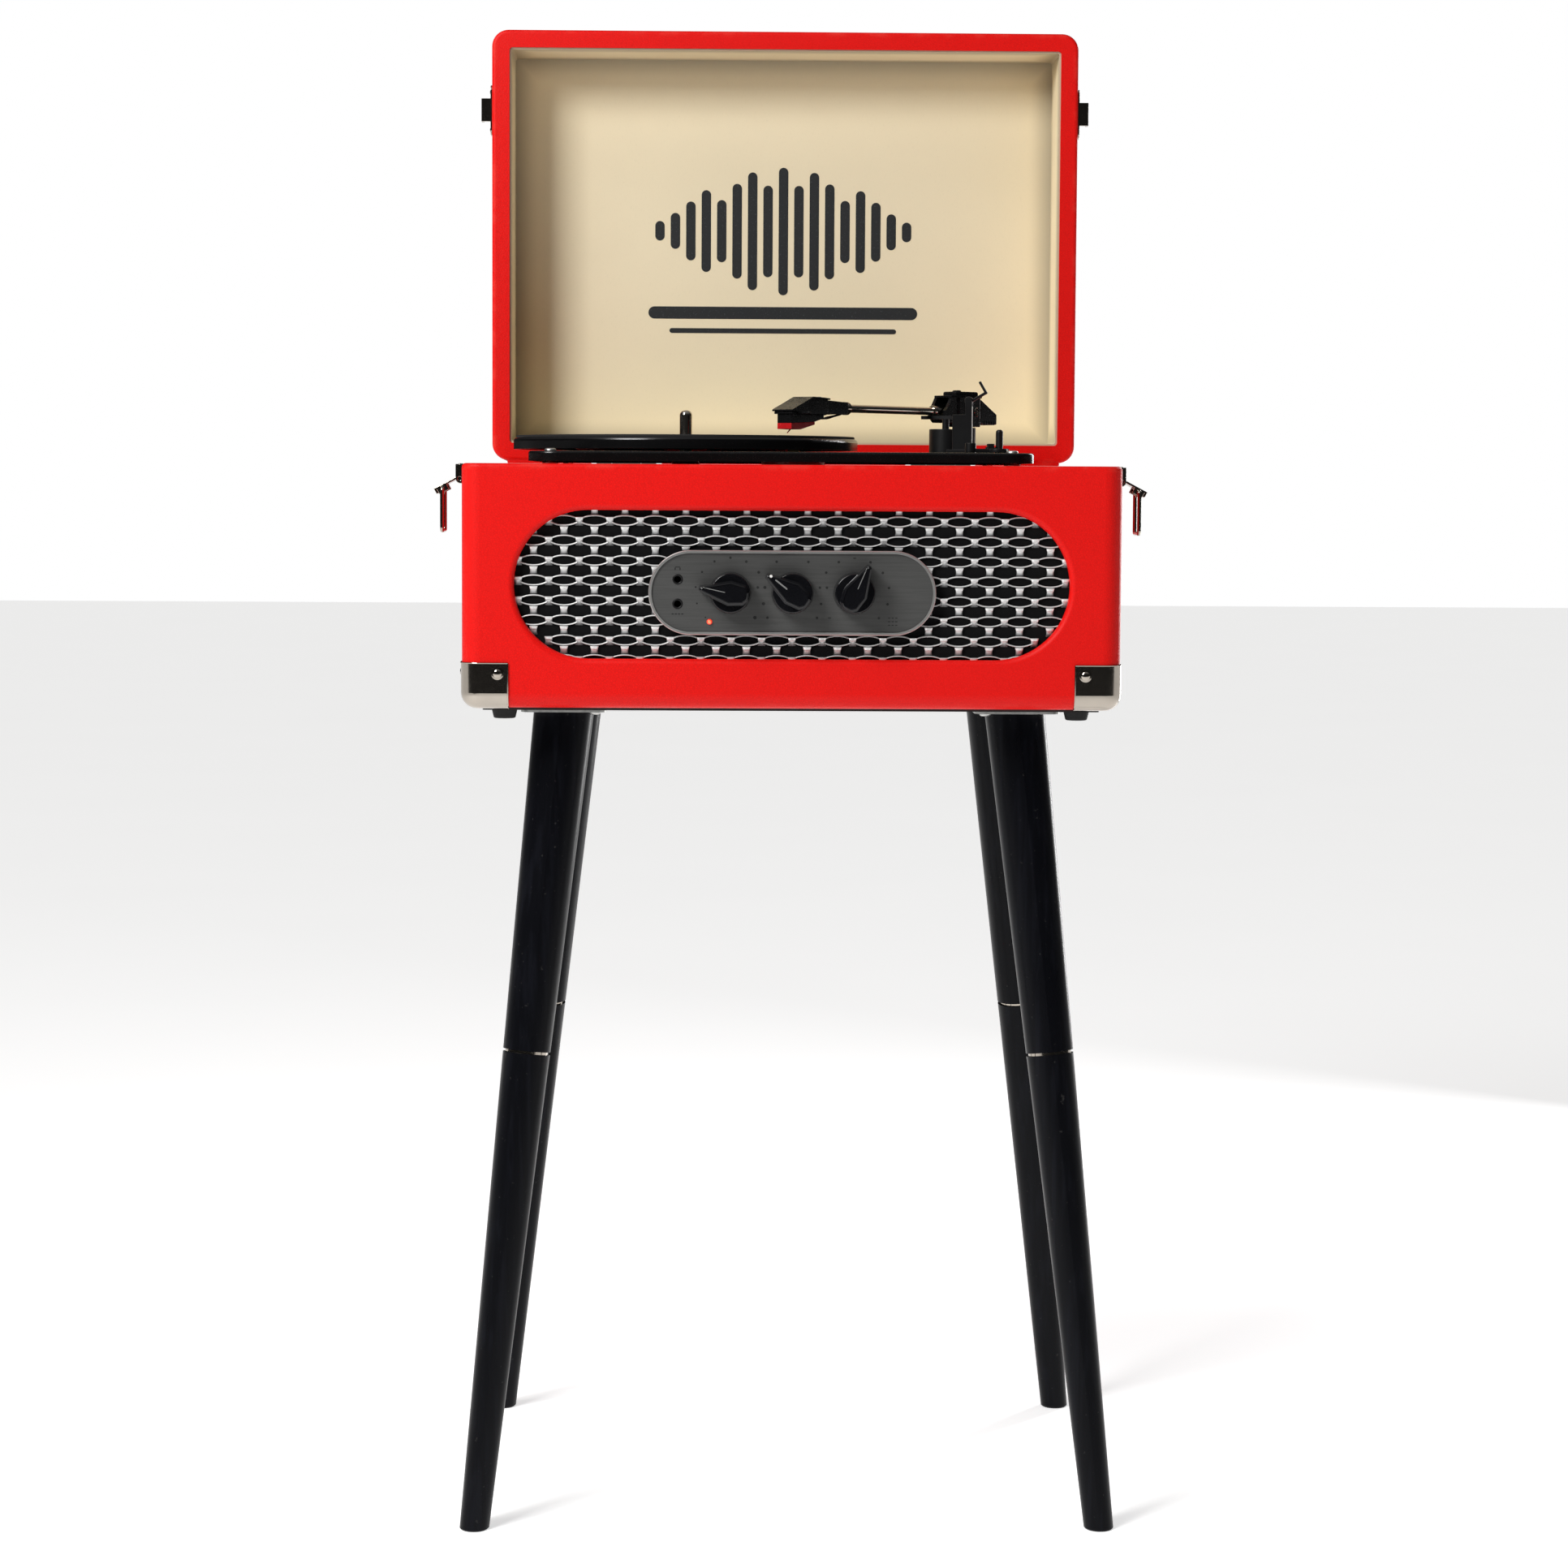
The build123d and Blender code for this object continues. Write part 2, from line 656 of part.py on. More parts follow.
def amplifier_board():
    board = block(
        (-BOARD_W / 2, BOARD_W / 2),
        (PCB_Y, PCB_Y + PCB_T),
        (PLATE_Z - BOARD_H / 2, PLATE_Z + BOARD_H / 2),
    )
    back = PCB_Y + PCB_T
    parts = [
        block((-55, -30), (back, back + 16), (PLATE_Z - 12, PLATE_Z + 12)),
        barrel_y(-10, PLATE_Z + 8, back, back + 14, 5),
        barrel_y(6, PLATE_Z + 8, back, back + 14, 5),
        block((25, 45), (back, back + 3), (PLATE_Z - 10, PLATE_Z + 10)),
        block((52, 62), (back, back + 7), (PLATE_Z - 14, PLATE_Z + 14)),
    ]
    for piece in parts:
        board += piece
    return board


def potentiometers():
    pots = []
    half = POT_SIZE / 2
    for x in (-KNOB_PITCH, 0, KNOB_PITCH):
        body = block((x - half, x + half), (PCB_Y - POT_DEPTH, PCB_Y), (PLATE_Z - half, PLATE_Z + half))
        bush_tip = PLATE_FACE_Y - KNOB_GAP + 0.4
        bush = barrel_y(x, PLATE_Z, bush_tip, PCB_Y - POT_DEPTH, BUSH_R)
        bore = barrel_y(x, PLATE_Z, bush_tip - 1, PCB_Y - 2, SHAFT_R + SHAFT_CLEAR)
        pots.append(body + bush - bore)
    return lone(pots)


def knob(x, heading):
    """Pointer knob and its shaft; heading is clockwise from 12 o'clock."""
    back = PLATE_FACE_Y - KNOB_GAP
    skirt = Solid.make_cone(KNOB_R, KNOB_R - 0.8, KNOB_BASE_H)
    tail = KNOB_R - 1.4
    flank = KNOB_R * 0.58
    outline = [
        (-KNOB_TIP, KNOB_REACH),
        (-flank, 0.5),
        (-flank * 0.8, -tail * 0.75),
        (-2.5, -tail),
        (2.5, -tail),
        (flank * 0.8, -tail * 0.75),
        (flank, 0.5),
        (KNOB_TIP, KNOB_REACH),
    ]
    pointer = extrude(make_face(Polyline(outline, close=True)), KNOB_H, taper=3)
    body = skirt + pointer
    body = chamfer(body.faces().sort_by(Axis.Z)[-1].edges(), 0.3)
    body -= Pos(0, 0, (KNOB_H - 5) / 2) * Cylinder(SHAFT_R, KNOB_H - 5)
    shaft_back = PCB_Y - 3
    shaft = barrel_y(x, PLATE_Z, back - KNOB_H + 5, shaft_back, SHAFT_R)
    place = Pos(x, back, PLATE_Z) * Rot(90, 0, 0) * Rot(0, 0, -heading)
    return lone([place * body, shaft])


# ---------------------------------------------------------------- rear sockets
def rear_plate():
    z = UNDER_Z + REAR_PLATE_RISE
    plate = block(
        (REAR_PLATE_X - REAR_PLATE_W / 2, REAR_PLATE_X + REAR_PLATE_W / 2),
        (REAR_Y, REAR_Y + REAR_PLATE_T),
        (z - REAR_PLATE_H / 2, z + REAR_PLATE_H / 2),
    )
    plate = fillet(plate.edges().filter_by(Axis.Y), 3)
    for x in RCA_X:
        plate -= barrel_y(REAR_PLATE_X + x, z, REAR_Y - 1, REAR_Y + REAR_PLATE_T + 1, RCA_BODY_R)
    plate -= barrel_y(REAR_PLATE_X + DC_X, z, REAR_Y - 1, REAR_Y + REAR_PLATE_T + 1, DC_R)
    return plate


def rear_sockets():
    z = UNDER_Z + REAR_PLATE_RISE
    face = REAR_Y + REAR_PLATE_T
    sockets = []
    for offset in RCA_X:
        x = REAR_PLATE_X + offset
        socket = barrel_y(x, z, REAR_Y - SOCKET_DEPTH, face, RCA_BODY_R)
        socket += barrel_y(x, z, face - 1, face + RCA_REACH, RCA_R)
        sockets.append(socket - barrel_y(x, z, face, face + RCA_REACH + 1, RCA_BORE_R))
    x = REAR_PLATE_X + DC_X
    inlet = barrel_y(x, z, REAR_Y - SOCKET_DEPTH, face + DC_REACH, DC_R)
    inlet -= barrel_y(x, z, REAR_Y - SOCKET_DEPTH + 3, face + DC_REACH + 1, DC_BORE_R)
    inlet += barrel_y(x, z, REAR_Y - SOCKET_DEPTH + 2, face + DC_REACH - 1, DC_PIN_R)
    sockets.append(inlet)
    return lone(sockets)


# ---------------------------------------------------------------- feet and corner guards
def rubber_feet():
    feet = []
    for sx, sy in CORNERS:
        plane = Plane(
            origin=(sx * (SIDE_X - FOOT_INSET), sy * (REAR_Y - FOOT_INSET), PANEL_Z), z_dir=(0, 0, -1)
        )
        foot = Solid.make_cone(FOOT_R, FOOT_R - FOOT_TAPER, FOOT_H, plane)
        feet.append(fillet(foot.edges().sort_by(Axis.Z)[0], 1.0))
    return lone(feet)


def guard_corner(sx, sy, z0, z1):
    """Cube of space that one corner guard fills."""
    return block(
        sorted((sx * (SIDE_X + 5), sx * (SIDE_X - GUARD_REACH))),
        sorted((sy * (REAR_Y + 5), sy * (REAR_Y - GUARD_REACH))),
        (z0, z1),
    )


def nails(sx, sy, z):
    """Dome nails through a guard's two upright faces."""
    x = SIDE_X - GUARD_REACH + NAIL_INSET
    y = REAR_Y - GUARD_REACH + NAIL_INSET
    return [
        barrel_y(sx * x, z, *sorted((sy * (REAR_Y - 3), sy * (REAR_Y + GUARD_T + NAIL_PROUD))), NAIL_R),
        barrel_x(sy * y, z, *sorted((sx * (SIDE_X - 3), sx * (SIDE_X + GUARD_T + NAIL_PROUD))), NAIL_R),
    ]


def base_corner_guards():
    shell = case_outside(GUARD_T) - case_outside()
    guards = []
    for sx, sy in CORNERS:
        guard = shell & guard_corner(sx, sy, UNDER_Z - 5, UNDER_Z + GUARD_H)
        for nail in nails(sx, sy, UNDER_Z + GUARD_H - NAIL_INSET):
            guard -= nail
        guard -= block(
            (-INNER_X, INNER_X), (-INNER_Y, INNER_Y), (UNDER_Z - 10, UNDER_Z + GUARD_H)
        )
        guards.append(guard)
    return lone(guards)


def lid_outside(extra=0.0):
    """Outer form of the shut lid, grown by extra."""
    base = RIM_Z + RIM_GAP
    form = block(
        (-SIDE_X - extra, SIDE_X + extra),
        (FRONT_Y - extra, REAR_Y + extra),
        (base, base + LID_H + extra),
    )
    form = fillet(form.edges().filter_by(Axis.Z), CORNER_R + extra)
    return fillet(form.faces().sort_by(Axis.Z)[-1].edges(), EDGE_R + extra)


def open_lid(shape):
    """Turn a piece of the shut lid to where it stands open."""
    return shape.rotate(Axis((0, HINGE_Y, HINGE_Z), (1, 0, 0)), -90)


def lid_corner_guards():
    shell = lid_outside(GUARD_T) - lid_outside()
    top = RIM_Z + RIM_GAP + LID_H
    return lone([
        shell & guard_corner(sx, sy, top - GUARD_H, top + 5)
        for sx, sy in CORNERS
    ])


def case_screws():
    """Screws of the bottom panel and leg plates, and the guards' dome nails."""
    screws = []
    for x, y in bottom_screw_points():
        head = disc(x, y, PANEL_Z - SCREW_HEAD_H, PANEL_Z, SCREW_HEAD_R)
        screws.append(head + disc(x, y, PANEL_Z - 1, PANEL_Z + BOTTOM_T + LEDGER - 4, SCREW_R))
    for x, y in mount_screw_points():
        low = PANEL_Z - MOUNT_T
        head = disc(x, y, low - SCREW_HEAD_H, low, SCREW_HEAD_R)
        screws.append(head + disc(x, y, low - 1, PANEL_Z + BOTTOM_T - 1, SCREW_R))
    for sx, sy in CORNERS:
        screws += nails(sx, sy, UNDER_Z + GUARD_H - NAIL_INSET)
    return lone(screws)


# ---------------------------------------------------------------- legs
def leg_top(sx, sy):
    return Vector(sx * (SIDE_X - LEG_INSET), sy * (REAR_Y - LEG_INSET), UNDER_Z)


def leg_foot(sx, sy):
    top = leg_top(sx, sy)
    return Vector(top.X + sx * FOOT_SPREAD_X, top.Y + sy * FOOT_SPREAD_Y, 0)


def leg_point(sx, sy, share):
    """Point on a leg's axis, from 0 at the case's underside to 1 at the floor."""
    top = leg_top(sx, sy)
    return top + (leg_foot(sx, sy) - top) * share


def leg_plane(sx, sy, share):
    """Plane square to a leg's axis, facing down the leg."""
    return Plane(
        origin=leg_point(sx, sy, share), z_dir=leg_foot(sx, sy) - leg_top(sx, sy)
    )


def leg_radius(share):
    return LEG_TOP_R + (LEG_FOOT_R - LEG_TOP_R) * share


def leg_cone(sx, sy, start, end):
    """Tapered round between two shares of a leg's length."""
    length = (leg_foot(sx, sy) - leg_top(sx, sy)).length * (end - start)
    return Solid.make_cone(leg_radius(start), leg_radius(end), length, leg_plane(sx, sy, start))


def leg_rod(sx, sy, radius, z0, z1):
    """Round rod on a leg's axis between two heights."""
    start = 1 - z1 / UNDER_Z
    end = 1 - z0 / UNDER_Z
    length = (leg_foot(sx, sy) - leg_top(sx, sy)).length * (end - start)
    return Solid.make_cylinder(radius, length, leg_plane(sx, sy, start))


def leg_length():
    return (leg_foot(1, 1) - leg_top(1, 1)).length


def joint_stud_hole(sx, sy):
    start = LEG_SPLIT - (STUD_HALF + 1) / leg_length()
    return Solid.make_cylinder(STUD_R, 2 * STUD_HALF + 2, leg_plane(sx, sy, start))


def upper_legs():
    legs = []
    share = RING_T / 2 / leg_length()
    for sx, sy in CORNERS:
        leg = leg_cone(sx, sy, -0.05, LEG_SPLIT - share)
        leg -= block((-600, 600), (-600, 600), (PANEL_Z - MOUNT_T, UNDER_Z + 60))
        leg -= joint_stud_hole(sx, sy)
        leg -= leg_rod(sx, sy, STUD_R, PANEL_Z - MOUNT_T - STUD_HALF, UNDER_Z)
        legs.append(leg)
    return lone(legs)


def lower_legs():
    legs = []
    share = RING_T / 2 / leg_length()
    for sx, sy in CORNERS:
        leg = leg_cone(sx, sy, LEG_SPLIT + share, 1.04)
        leg -= block((-600, 600), (-600, 600), (-60, 0))
        leg = chamfer(leg.faces().sort_by(Axis.Z)[0].edges(), LEG_CHAMFER)
        leg -= joint_stud_hole(sx, sy)
        legs.append(leg)
    return lone(legs)


def leg_rings():
    rings = []
    for sx, sy in CORNERS:
        plane = leg_plane(sx, sy, LEG_SPLIT - RING_T / 2 / leg_length())
        ring = Solid.make_cylinder(leg_radius(LEG_SPLIT) - RING_INSET, RING_T, plane)
        rings.append(ring - Solid.make_cylinder(STUD_R, RING_T, plane))
    return lone(rings)


def leg_studs():
    studs = []
    for sx, sy in CORNERS:
        start = LEG_SPLIT - STUD_HALF / leg_length()
        studs.append(Solid.make_cylinder(STUD_R, 2 * STUD_HALF, leg_plane(sx, sy, start)))
        studs.append(
            leg_rod(sx, sy, STUD_R, PANEL_Z - MOUNT_T - STUD_HALF + 1, PANEL_Z + BOTTOM_T + 3)
        )
    return lone(studs)


def mount_screw_points():
    points = []
    for sx, sy in CORNERS:
        top = leg_top(sx, sy)
        points.append((top.X + sx * MOUNT_SCREW, top.Y - sy * MOUNT_SCREW))
        points.append((top.X - sx * MOUNT_SCREW, top.Y + sy * MOUNT_SCREW))
        points.append((top.X - sx * MOUNT_SCREW, top.Y - sy * MOUNT_SCREW))
    return points


def leg_mount_plates():
    plates = []
    for sx, sy in CORNERS:
        top = leg_top(sx, sy)
        half = MOUNT_SIZE / 2
        plate = upright(
            (top.X - half, top.X + half),
            (top.Y - half, top.Y + half),
            (PANEL_Z - MOUNT_T, PANEL_Z),
            5,
        )
        plate -= leg_rod(sx, sy, STUD_R, PANEL_Z - 10, PANEL_Z + 10)
        for x, y in mount_screw_points():
            plate -= disc(x, y, PANEL_Z - MOUNT_T - 1, PANEL_Z + 1, SCREW_R)
        plates.append(plate)
    return lone(plates)


# ---------------------------------------------------------------- lid
def lid_shell():
    base = RIM_Z + RIM_GAP
    lid = lid_outside()
    lid = fillet(lid.faces().sort_by(Axis.Z)[0].edges(), RIM_R)
    lid -= upright(
        (-INNER_X, INNER_X), (-INNER_Y, INNER_Y), (base - 5, base + LID_H - LID_TOP), INNER_R
    )
    return lid


def lid_lining():
    base = RIM_Z + RIM_GAP
    tray = upright(
        (-INNER_X, INNER_X),
        (-INNER_Y, INNER_Y),
        (base + LINING_SETBACK, base + LID_H - LID_TOP),
        INNER_R,
    )
    return tray - upright(
        (-INNER_X + LINING, INNER_X - LINING),
        (-INNER_Y + LINING, INNER_Y - LINING),
        (base, base + LID_H - LID_TOP - LINING),
        INNER_R - LINING / 2,
    )


def hinge_leaf(x, z_sign, spans, others):
    """One leaf with its knuckles; others are the spans kept clear for the mating knuckles."""
    leaf = block(
        (x - HINGE_W / 2, x + HINGE_W / 2),
        (REAR_Y, REAR_Y + HINGE_LEAF_T),
        sorted((HINGE_Z + z_sign * 0.5, HINGE_Z + z_sign * HINGE_LEAF_H)),
    )
    for low, high in spans:
        leaf += barrel_x(HINGE_Y, HINGE_Z, x + low, x + high, KNUCKLE_R)
    for low, high in others:
        leaf -= barrel_x(HINGE_Y, HINGE_Z, x + low, x + high, KNUCKLE_R + KNUCKLE_GAP)
    return leaf


def hinge_spans():
    half = HINGE_W / 2
    outer = [(-half, -half + KNUCKLE_SHARE), (half - KNUCKLE_SHARE, half)]
    middle = [(-half + KNUCKLE_SHARE + KNUCKLE_GAP, half - KNUCKLE_SHARE - KNUCKLE_GAP)]
    return outer, middle


def hinge_case_leaves():
    outer, middle = hinge_spans()
    clear = [(low - KNUCKLE_GAP, high + KNUCKLE_GAP) for low, high in middle]
    leaves = []
    for sx in (-1, 1):
        leaf = hinge_leaf(sx * HINGE_X, -1, outer, clear)
        leaves.append(
            leaf - barrel_x(HINGE_Y, HINGE_Z, sx * HINGE_X - HINGE_W, sx * HINGE_X + HINGE_W, HINGE_PIN_R)
        )
    return lone(leaves)


def hinge_lid_leaves():
    outer, middle = hinge_spans()
    half = HINGE_W / 2 + 1
    clear = [
        (-half, -HINGE_W / 2 + KNUCKLE_SHARE + KNUCKLE_GAP),
        (HINGE_W / 2 - KNUCKLE_SHARE - KNUCKLE_GAP, half),
    ]
    bore = HINGE_PIN_R + SHAFT_CLEAR
    leaves = []
    for sx in (-1, 1):
        leaf = hinge_leaf(sx * HINGE_X, 1, middle, clear)
        leaves.append(
            leaf - barrel_x(HINGE_Y, HINGE_Z, sx * HINGE_X - HINGE_W, sx * HINGE_X + HINGE_W, bore)
        )
    return lone(leaves)


def pivot_pins():
    """Pins of both lid hinges and both latches."""
    pins = []
    for sx in (-1, 1):
        x = sx * HINGE_X
        pins.append(barrel_x(HINGE_Y, HINGE_Z, x - HINGE_W / 2, x + HINGE_W / 2, HINGE_PIN_R))
    half = LATCH_W / 2
    pin = barrel_y(
        SIDE_X + LATCH_PIN_OUT, RIM_Z - LATCH_PIN_DROP, LATCH_Y - half, LATCH_Y + half, LATCH_PIN_R
    )
    return lone(pins + both_sides(pin))


# ---------------------------------------------------------------- latches
def latch_bases():
    half = LATCH_W / 2
    top = RIM_Z - RIM_GAP
    base = block(
        (SIDE_X, SIDE_X + LATCH_PROUD), (LATCH_Y - half, LATCH_Y + half), (top - LATCH_H, top)
    )
    base = fillet(
        base.edges().filter_by(Axis.Y).sort_by(Axis.X)[-2:].sort_by(Axis.Z)[0], LATCH_PROUD / 2
    )
    base -= block(
        (SIDE_X + 0.8, SIDE_X + LATCH_PROUD + 1),
        (LATCH_Y - half + LATCH_T, LATCH_Y + half - LATCH_T),
        (top - LATCH_H - 1, top - 1.4),
    )
    base -= barrel_y(
        SIDE_X + LATCH_PIN_OUT,
        RIM_Z - LATCH_PIN_DROP,
        LATCH_Y - half - 1,
        LATCH_Y + half + 1,
        LATCH_PIN_R,
    )
    return lone(both_sides(base))


def lever_place():
    return (
        Pos(SIDE_X + LATCH_PIN_OUT, LATCH_Y, RIM_Z - LATCH_PIN_DROP) * Rot(0, LEVER_ANGLE, 0)
    )


def latch_lever():
    """Pressed lever of the right latch: curled barrel, strip and two cheeks for the loop."""
    half = LEVER_W / 2
    curl = LATCH_PIN_R + LEVER_T - 0.4
    lever = Rot(90, 0, 0) * Cylinder(curl, LEVER_W)
    lever += block((0, LEVER_LENGTH), (-half, half), (curl - LEVER_T, curl))
    lever += block((LEVER_LENGTH - LEVER_T, LEVER_LENGTH), (-half, half), (-1.5, curl))
    for side in (-1, 1):
        lever += block(
            (LOOP_AT - 3, LOOP_AT + 3),
            sorted((side * half, side * (half - LEVER_T))),
            (-LOOP_R - 1.2, curl),
        )
    lever -= Rot(90, 0, 0) * Cylinder(LATCH_PIN_R + SHAFT_CLEAR, LEVER_W + 2)
    lever -= Pos(LOOP_AT, 0, 0) * Rot(90, 0, 0) * Cylinder(LOOP_R + SHAFT_CLEAR, LEVER_W + 2)
    return lever_place() * lever


def latch_loop():
    """Wire loop of the right latch, hanging straight down from the lever."""
    angle = radians(LEVER_ANGLE)
    x = SIDE_X + LATCH_PIN_OUT + LOOP_AT * cos(angle)
    z = RIM_Z - LATCH_PIN_DROP - LOOP_AT * sin(angle)
    half = LOOP_W / 2 - LOOP_R
    low = z - LOOP_LENGTH + LOOP_R
    tuck = LEVER_W / 2 - LEVER_T - 0.5
    path = FilletPolyline(
        (x, LATCH_Y - tuck, z),
        (x, LATCH_Y - half, z),
        (x, LATCH_Y - half, low),
        (x, LATCH_Y + half, low),
        (x, LATCH_Y + half, z),
        (x, LATCH_Y + tuck, z),
        radius=LOOP_BEND,
    )
    section = Plane(origin=path @ 0, z_dir=path % 0) * Circle(LOOP_R)
    return sweep(section, path)


def lid_catches():
    """Plates with an upturned hook on the lid's sides."""
    base = RIM_Z + RIM_GAP + CATCH_RISE
    plate = block(
        (SIDE_X, SIDE_X + CATCH_T),
        (LATCH_Y - CATCH_W / 2, LATCH_Y + CATCH_W / 2),
        (base, base + CATCH_H),
    )
    plate = fillet(plate.edges().filter_by(Axis.X), 3)
    hook = prism_y(
        [
            (SIDE_X + CATCH_T - 0.5, base + 1),
            (SIDE_X + CATCH_PROUD, base + 1),
            (SIDE_X + CATCH_PROUD, base + 7),
            (SIDE_X + CATCH_PROUD - 1.3, base + 7),
            (SIDE_X + CATCH_PROUD - 1.3, base + 2.6),
            (SIDE_X + CATCH_T - 0.5, base + 2.6),
        ],
        LATCH_Y - CATCH_HOOK_W / 2,
        LATCH_Y + CATCH_HOOK_W / 2,
    )
    return lone(both_sides(plate + hook))


# ---------------------------------------------------------------- player chassis
def chassis():
    body = upright(
        (CHASSIS_X0, CHASSIS_X1), (-CHASSIS_Y, CHASSIS_Y), (CHASSIS_Z0, CHASSIS_Z1), CHASSIS_R
    )
    body = fillet(body.faces().sort_by(Axis.Z)[-1].edges(), 1.5)
    body -= upright(
        (CHASSIS_X0 + CHASSIS_T, CHASSIS_X1 - CHASSIS_T),
        (-CHASSIS_Y + CHASSIS_T, CHASSIS_Y - CHASSIS_T),
        (CHASSIS_Z0 - 1, PLATE_UNDER_Z),
        CHASSIS_R - CHASSIS_T,
    )
    for x, y in SPRING_POINTS:
        body += disc(x, y, CHASSIS_Z0, CHASSIS_Z1 - 1, SPRING_BOSS_R)
        body -= disc(x, y, CHASSIS_Z0 - 1, CHASSIS_Z1 + 1, SCREW_R + 0.4)
    body += disc(SPINDLE_X, 0, RIM_Z - SPINDLE_FOOT, CHASSIS_Z1 - 1, SPINDLE_BOSS_R)
    body -= disc(SPINDLE_X, 0, RIM_Z - SPINDLE_FOOT - 1, CHASSIS_Z1 + 1, BEARING_R)
    body -= disc(MOTOR_X, MOTOR_Y, CHASSIS_Z0, CHASSIS_Z1 + 1, PULLEY_FLANGE_R + 1)
    body -= disc(*speed_point(), CHASSIS_Z0, CHASSIS_Z1 + 1, SPEED_STUD_R + SHAFT_CLEAR)
    x, y = stop_point()
    slot = STOP_W / 2 - 0.8 + 0.3
    body -= block(
        (x - slot, x + slot), (y - 2.3, y + STOP_TRAVEL + 2.3), (CHASSIS_Z0, CHASSIS_Z1 + 1)
    )
    return body


def speed_point():
    return CHASSIS_X1 - SPEED_X, -CHASSIS_Y + SPEED_Y


def stop_point():
    return CHASSIS_X1 - STOP_X, -CHASSIS_Y + STOP_Y


def suspension_springs():
    """Coil springs between the deck and the chassis."""
    springs = []
    low = DECK_Z + SPRING_WIRE + SPRING_REST
    rise = CHASSIS_Z0 - DECK_Z - 2 * SPRING_WIRE - 2 * SPRING_REST
    path = Helix(rise / SPRING_TURNS, rise, SPRING_R)
    section = Plane(origin=path @ 0, z_dir=path % 0) * Circle(SPRING_WIRE)
    coil = sweep(section, path, is_frenet=True)
    for x, y in SPRING_POINTS:
        springs.append(Pos(x, y, low) * coil)
    return lone(springs)


def chassis_screws():
    screws = []
    for x, y in SPRING_POINTS:
        head = disc(x, y, CHASSIS_Z1, CHASSIS_Z1 + SCREW_HEAD_H, SCREW_HEAD_R)
        slot = block(
            (x - SCREW_HEAD_R, x + SCREW_HEAD_R),
            (y - 0.4, y + 0.4),
            (CHASSIS_Z1 + SCREW_HEAD_H - 0.7, CHASSIS_Z1 + SCREW_HEAD_H + 1),
        )
        screws.append(head - slot + disc(x, y, DECK_Z - DECK_T, CHASSIS_Z1 + 0.5, SCREW_R))
    return lone(screws)


def drive_motor():
    motor = disc(MOTOR_X, MOTOR_Y, PLATE_UNDER_Z - MOTOR_H, PLATE_UNDER_Z, MOTOR_R)
    motor = fillet(motor.edges().sort_by(Axis.Z)[0], 2)
    bore = disc(
        MOTOR_X,
        MOTOR_Y,
        PLATE_UNDER_Z - MOTOR_SHAFT_DEPTH - 1,
        PLATE_UNDER_Z + 1,
        MOTOR_SHAFT_R + SHAFT_CLEAR,
    )
    return motor - bore


def belt_low():
    """Bottom of the belt's track on the platter's ring."""
    return PLATTER_Z0 + 0.3


def motor_pulley():
    """Pulley pressed on the motor's turning shaft."""
    low = CHASSIS_Z1 + 0.4
    top = PLATTER_Z1 - PLATTER_T - 0.4
    pulley = disc(MOTOR_X, MOTOR_Y, low, top, PULLEY_R)
    pulley += disc(MOTOR_X, MOTOR_Y, low, belt_low() - 0.2, PULLEY_FLANGE_R)
    pulley -= disc(MOTOR_X, MOTOR_Y, low - 1, top + 1, MOTOR_SHAFT_R)
    shaft = disc(MOTOR_X, MOTOR_Y, PLATE_UNDER_Z - MOTOR_SHAFT_DEPTH, top, MOTOR_SHAFT_R)
    return lone([pulley, shaft])


def belt_form(z0, z1, grow):
    """Solid inside a loop round the platter's ring and the pulley."""
    big = Pos(SPINDLE_X, 0) * Circle(DRIVE_RING_R + grow)
    small = Pos(MOTOR_X, MOTOR_Y) * Circle(PULLEY_R + grow)
    face = make_hull(big.edges() + small.edges())
    return extrude(Pos(0, 0, z0) * face, z1 - z0)


def drive_belt():
    low = belt_low()
    outer = belt_form(low, low + BELT_H, BELT_GAP + BELT_T)
    return outer - belt_form(low - 1, low + BELT_H + 1, BELT_GAP)


def platter():
    disc_under = PLATTER_Z1 - PLATTER_T
    body = disc(SPINDLE_X, 0, PLATTER_Z0, PLATTER_Z1, PLATTER_R)
    body = fillet(body.edges().sort_by(Axis.Z)[-1], PLATTER_EDGE)
    body -= disc(SPINDLE_X, 0, PLATTER_Z0 - 1, disc_under, PLATTER_R - PLATTER_T)
    ring = disc(SPINDLE_X, 0, PLATTER_Z0, disc_under + 1, DRIVE_RING_R)
    body += ring - disc(SPINDLE_X, 0, PLATTER_Z0 - 1, disc_under, DRIVE_RING_R - DRIVE_RING_T)
    body += disc(SPINDLE_X, 0, PLATTER_Z0, disc_under + 1, PLATTER_HUB_R)
    return body - disc(SPINDLE_X, 0, PLATTER_Z0 - 1, PLATTER_Z1 + 1, PLATTER_BUSH_R)


def platter_bush():
    bush = disc(SPINDLE_X, 0, PLATTER_Z0, PLATTER_Z1, PLATTER_BUSH_R)
    return bush - disc(SPINDLE_X, 0, PLATTER_Z0 - 1, PLATTER_Z1 + 1, BEARING_R + SHAFT_CLEAR)


def platter_mat():
    """Rubber mat with raised rings."""
    mat = disc(SPINDLE_X, 0, PLATTER_Z1, PLATTER_Z1 + MAT_T, MAT_R)
    groove_low = PLATTER_Z1 + MAT_T - 0.4
    radius = 50.0
    while radius + MAT_RIB < MAT_R:
        groove = disc(SPINDLE_X, 0, groove_low, PLATTER_Z1 + MAT_T + 1, radius + MAT_RIB / 2)
        mat -= groove - disc(SPINDLE_X, 0, groove_low - 1, PLATTER_Z1 + MAT_T + 2, radius)
        radius += MAT_RIB
    return mat - disc(SPINDLE_X, 0, PLATTER_Z1 - 1, PLATTER_Z1 + MAT_T + 1, BEARING_R + 0.6)


